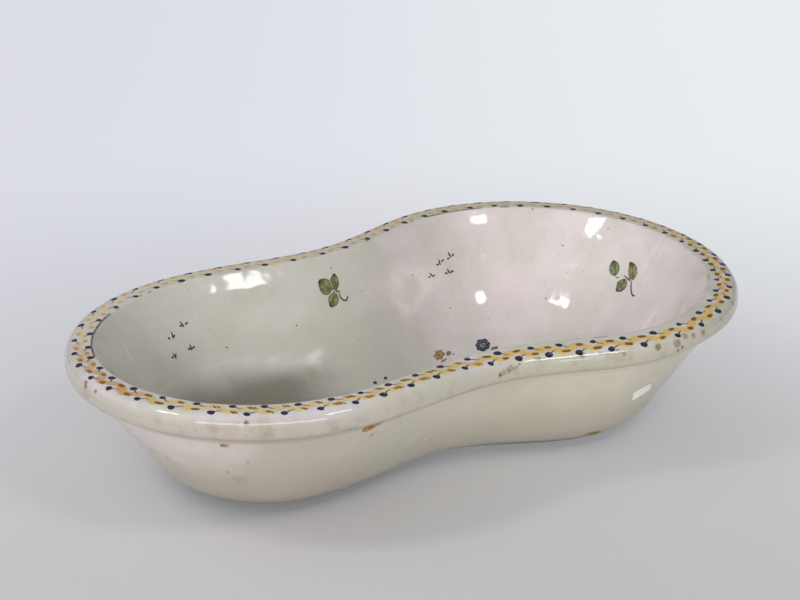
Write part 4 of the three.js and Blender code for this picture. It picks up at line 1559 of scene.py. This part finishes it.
# %% The floor
FLOOR_HALF = 9.0
FLOOR_DROP = 0.0002
FLOOR_GREY = "#CFCECE"
FLOOR_BRIGHT = "#F0EFEE"
BACKDROP_LEFT = "#DCDDE6"
BACKDROP_RIGHT = "#E9ECF0"
CAMERA_AZIMUTH = math.radians(32.32)
BACKDROP_WAY = (math.sin(CAMERA_AZIMUTH), math.cos(CAMERA_AZIMUTH), 0.0)
GREY_MIDDLE = Vector(BACKDROP_WAY) * -0.45  # in metres, towards the camera
GREY_FROM, GREY_TO = 0.10, 1.20  # how far from there the grey paper starts and ends
SIDE_REACH = 0.45
RIGHT_WAY = (math.cos(CAMERA_AZIMUTH), -math.sin(CAMERA_AZIMUTH), 0.0)


def picture_rays(tree):
    """1 for what the camera sees, directly, mirrored or through glass, and 0 for light."""
    rays = add(tree, "LightPath").node.outputs
    seen = add(tree, "Math", (0, rays["Is Camera Ray"]), (1, rays["Is Glossy Ray"]), **LARGER)
    return add(tree, "Math", (0, seen), (1, rays["Is Transmission Ray"]), **LARGER)


def floor_material():
    """Grey paper that turns into the bright backdrop away from the basin, a little brighter on the right."""
    material, tree = new_material("studio_floor")
    place = add(tree, "TexCoord", out="Object")
    sideways = add(tree, "VectorMath", (0, place), (1, RIGHT_WAY), out="Value", operation="DOT_PRODUCT")
    pairs = ("From Min", -SIDE_REACH), ("From Max", SIDE_REACH)
    to_right = add(tree, "MapRange", ("Value", sideways), *pairs, **SMOOTH)
    bright = add(tree, "Mix", (0, to_right), (6, BACKDROP_LEFT), (7, BACKDROP_RIGHT), **COLOUR)
    seen = picture_rays(tree)
    grey = add(tree, "Mix", (0, seen), (6, FLOOR_BRIGHT), (7, FLOOR_GREY), **COLOUR)
    paper = add(tree, "BsdfPrincipled", ("Base Color", grey), ("Roughness", 0.9), ("Specular IOR Level", 0.0))
    glow = add(tree, "Emission", ("Color", bright), ("Strength", 1.0))
    away = add(tree, "VectorMath", (0, place), (1, GREY_MIDDLE), out="Value", operation="DISTANCE")
    far = add(tree, "MapRange", ("Value", away), ("From Min", GREY_FROM), ("From Max", GREY_TO), **SMOOTH)
    shown = add(tree, "Math", (0, far), (1, seen), **TIMES)
    surface = add(tree, "MixShader", (0, shown), (1, paper), (2, glow))
    add(tree, "OutputMaterial", ("Surface", surface))
    return material


def stage_floor():
    """A large square just under the basin."""
    mesh = bpy.data.meshes.new("floor")
    corners = ((-1, -1), (1, -1), (1, 1), (-1, 1))
    mesh.from_pydata([(FLOOR_HALF * x, FLOOR_HALF * y, -FLOOR_DROP) for x, y in corners], [], [(0, 1, 2, 3)])
    mesh.materials.append(floor_material())
    piece = bpy.data.objects.new("floor", mesh)
    bpy.context.scene.collection.objects.link(piece)


stage_floor()

# %% The world
AMBIENT = 0.26
AMBIENT_WHITE = "#F4F4F7"
WORLD_GREY = "#E4E6EC"


def studio_world():
    """An even pale surround that lights at its own level and shows as the backdrop's grey."""
    world = bpy.data.worlds.new("studio")
    bpy.context.scene.world = world
    world.use_nodes = True
    tree = world.node_tree
    tree.nodes.clear()
    ambient = add(tree, "Background", ("Color", AMBIENT_WHITE), ("Strength", AMBIENT))
    seen = add(tree, "Background", ("Color", WORLD_GREY), ("Strength", 1.0))
    rays = add(tree, "LightPath").node.outputs
    direct = add(tree, "Math", (0, rays["Is Camera Ray"]), (1, rays["Is Transmission Ray"]), **LARGER)
    add(tree, "OutputWorld", ("Surface", add(tree, "MixShader", (0, direct), (1, ambient), (2, seen))))


studio_world()

# %% [markdown]
# ## Lamps
#
# The highlights in the photograph give the lamps away: each bright patch lies where the curved wall
# mirrors a lamp, so with the shape known their directions follow. Two softboxes stand at about fifty
# degrees above the floor, one to the right of the camera and one to the far left. Two pale walls throw
# light back: one on the left, which makes that the brighter side, and one behind the camera. The second
# is low enough to reach the leaning outside of the basin, and to leave what lies deep behind the near rim
# in shade. A dim panel hangs overhead.

# %% Softboxes
def softbox(name, azimuth, elevation, distance, size, power):
    """An area lamp in a direction from the basin's middle, facing it, with its azimuth from +X towards +Y.

    The lamp itself stays out of pictures that are taken towards it, but is mirrored in the glaze.
    """
    lamp = bpy.data.lights.new(name, "AREA")
    lamp.shape = "RECTANGLE"
    lamp.size, lamp.size_y = size
    lamp.energy = power
    azimuth, elevation = math.radians(azimuth), math.radians(elevation)
    level = math.cos(elevation)
    way = Vector((math.cos(azimuth) * level, math.sin(azimuth) * level, math.sin(elevation)))
    stand = bpy.data.objects.new(name, lamp)
    stand.location = way * distance
    stand.visible_camera = False
    stand.rotation_mode = "QUATERNION"
    stand.rotation_quaternion = way.to_track_quat("Z", "Y")
    bpy.context.scene.collection.objects.link(stand)


# Each lamp: azimuth and elevation in degrees, distance and size in metres, and power in watts.
LAMPS = (
    ("softbox_right", -77, 51, 2.2, (0.46, 0.32), 6.5),
    ("softbox_left", 171, 50, 2.2, (0.34, 0.38), 6.5),
    ("left_wall", 168, 44, 2.6, (3.2, 2.6), 18.0),
    ("overhead_panel", 60, 78, 2.4, (2.2, 2.2), 3.0),
    ("pale_wall", -122, 20, 2.7, (3.2, 0.8), 36.0),
)
for lamp in LAMPS:
    softbox(*lamp)
print(len(LAMPS), "lamps")

# %% [markdown]
# ## The camera
#
# The camera was found by fitting the outlines of rim, lip and base to the photograph: it looks down at
# 22.4 degrees from the near left, through a long lens, so the perspective is mild.

# %% The camera
SENSOR_WIDTH = 36.0
HALF_VIEW = math.radians(22.12 / 2)
CAMERA_PITCH = math.radians(22.42)
CAMERA_DEPTH = 1546.0  # from the camera to the level of the rim's middle, in millimetres
AIM_RIGHT = 7.12  # how far the rim's middle stands right of the picture's middle
AIM_DOWN = -2.01


def set_camera():
    """Places the camera: right, down and ahead are its own axes, and the rim's middle is its aim."""
    right = Vector(RIGHT_WAY)
    level = Vector(BACKDROP_WAY)
    ahead = level * math.cos(CAMERA_PITCH) - Vector((0, 0, 1)) * math.sin(CAMERA_PITCH)
    down = -level * math.sin(CAMERA_PITCH) - Vector((0, 0, 1)) * math.cos(CAMERA_PITCH)
    lens = bpy.data.cameras.new("camera")
    lens.sensor_width = SENSOR_WIDTH
    lens.lens = SENSOR_WIDTH / 2 / math.tan(HALF_VIEW)
    camera = bpy.data.objects.new("camera", lens)
    aim = Vector((0, 0, TOP))
    camera.location = (aim - AIM_RIGHT * right - AIM_DOWN * down - CAMERA_DEPTH * ahead) * MM
    turn = Matrix((right, -down, -ahead)).transposed()
    camera.rotation_mode = "QUATERNION"
    camera.rotation_quaternion = turn.to_quaternion()
    bpy.context.scene.collection.objects.link(camera)
    bpy.context.scene.camera = camera
    print("camera at", [round(value * 1000) for value in camera.location], "mm")


set_camera()
bpy.context.scene.view_settings.view_transform = "Standard"
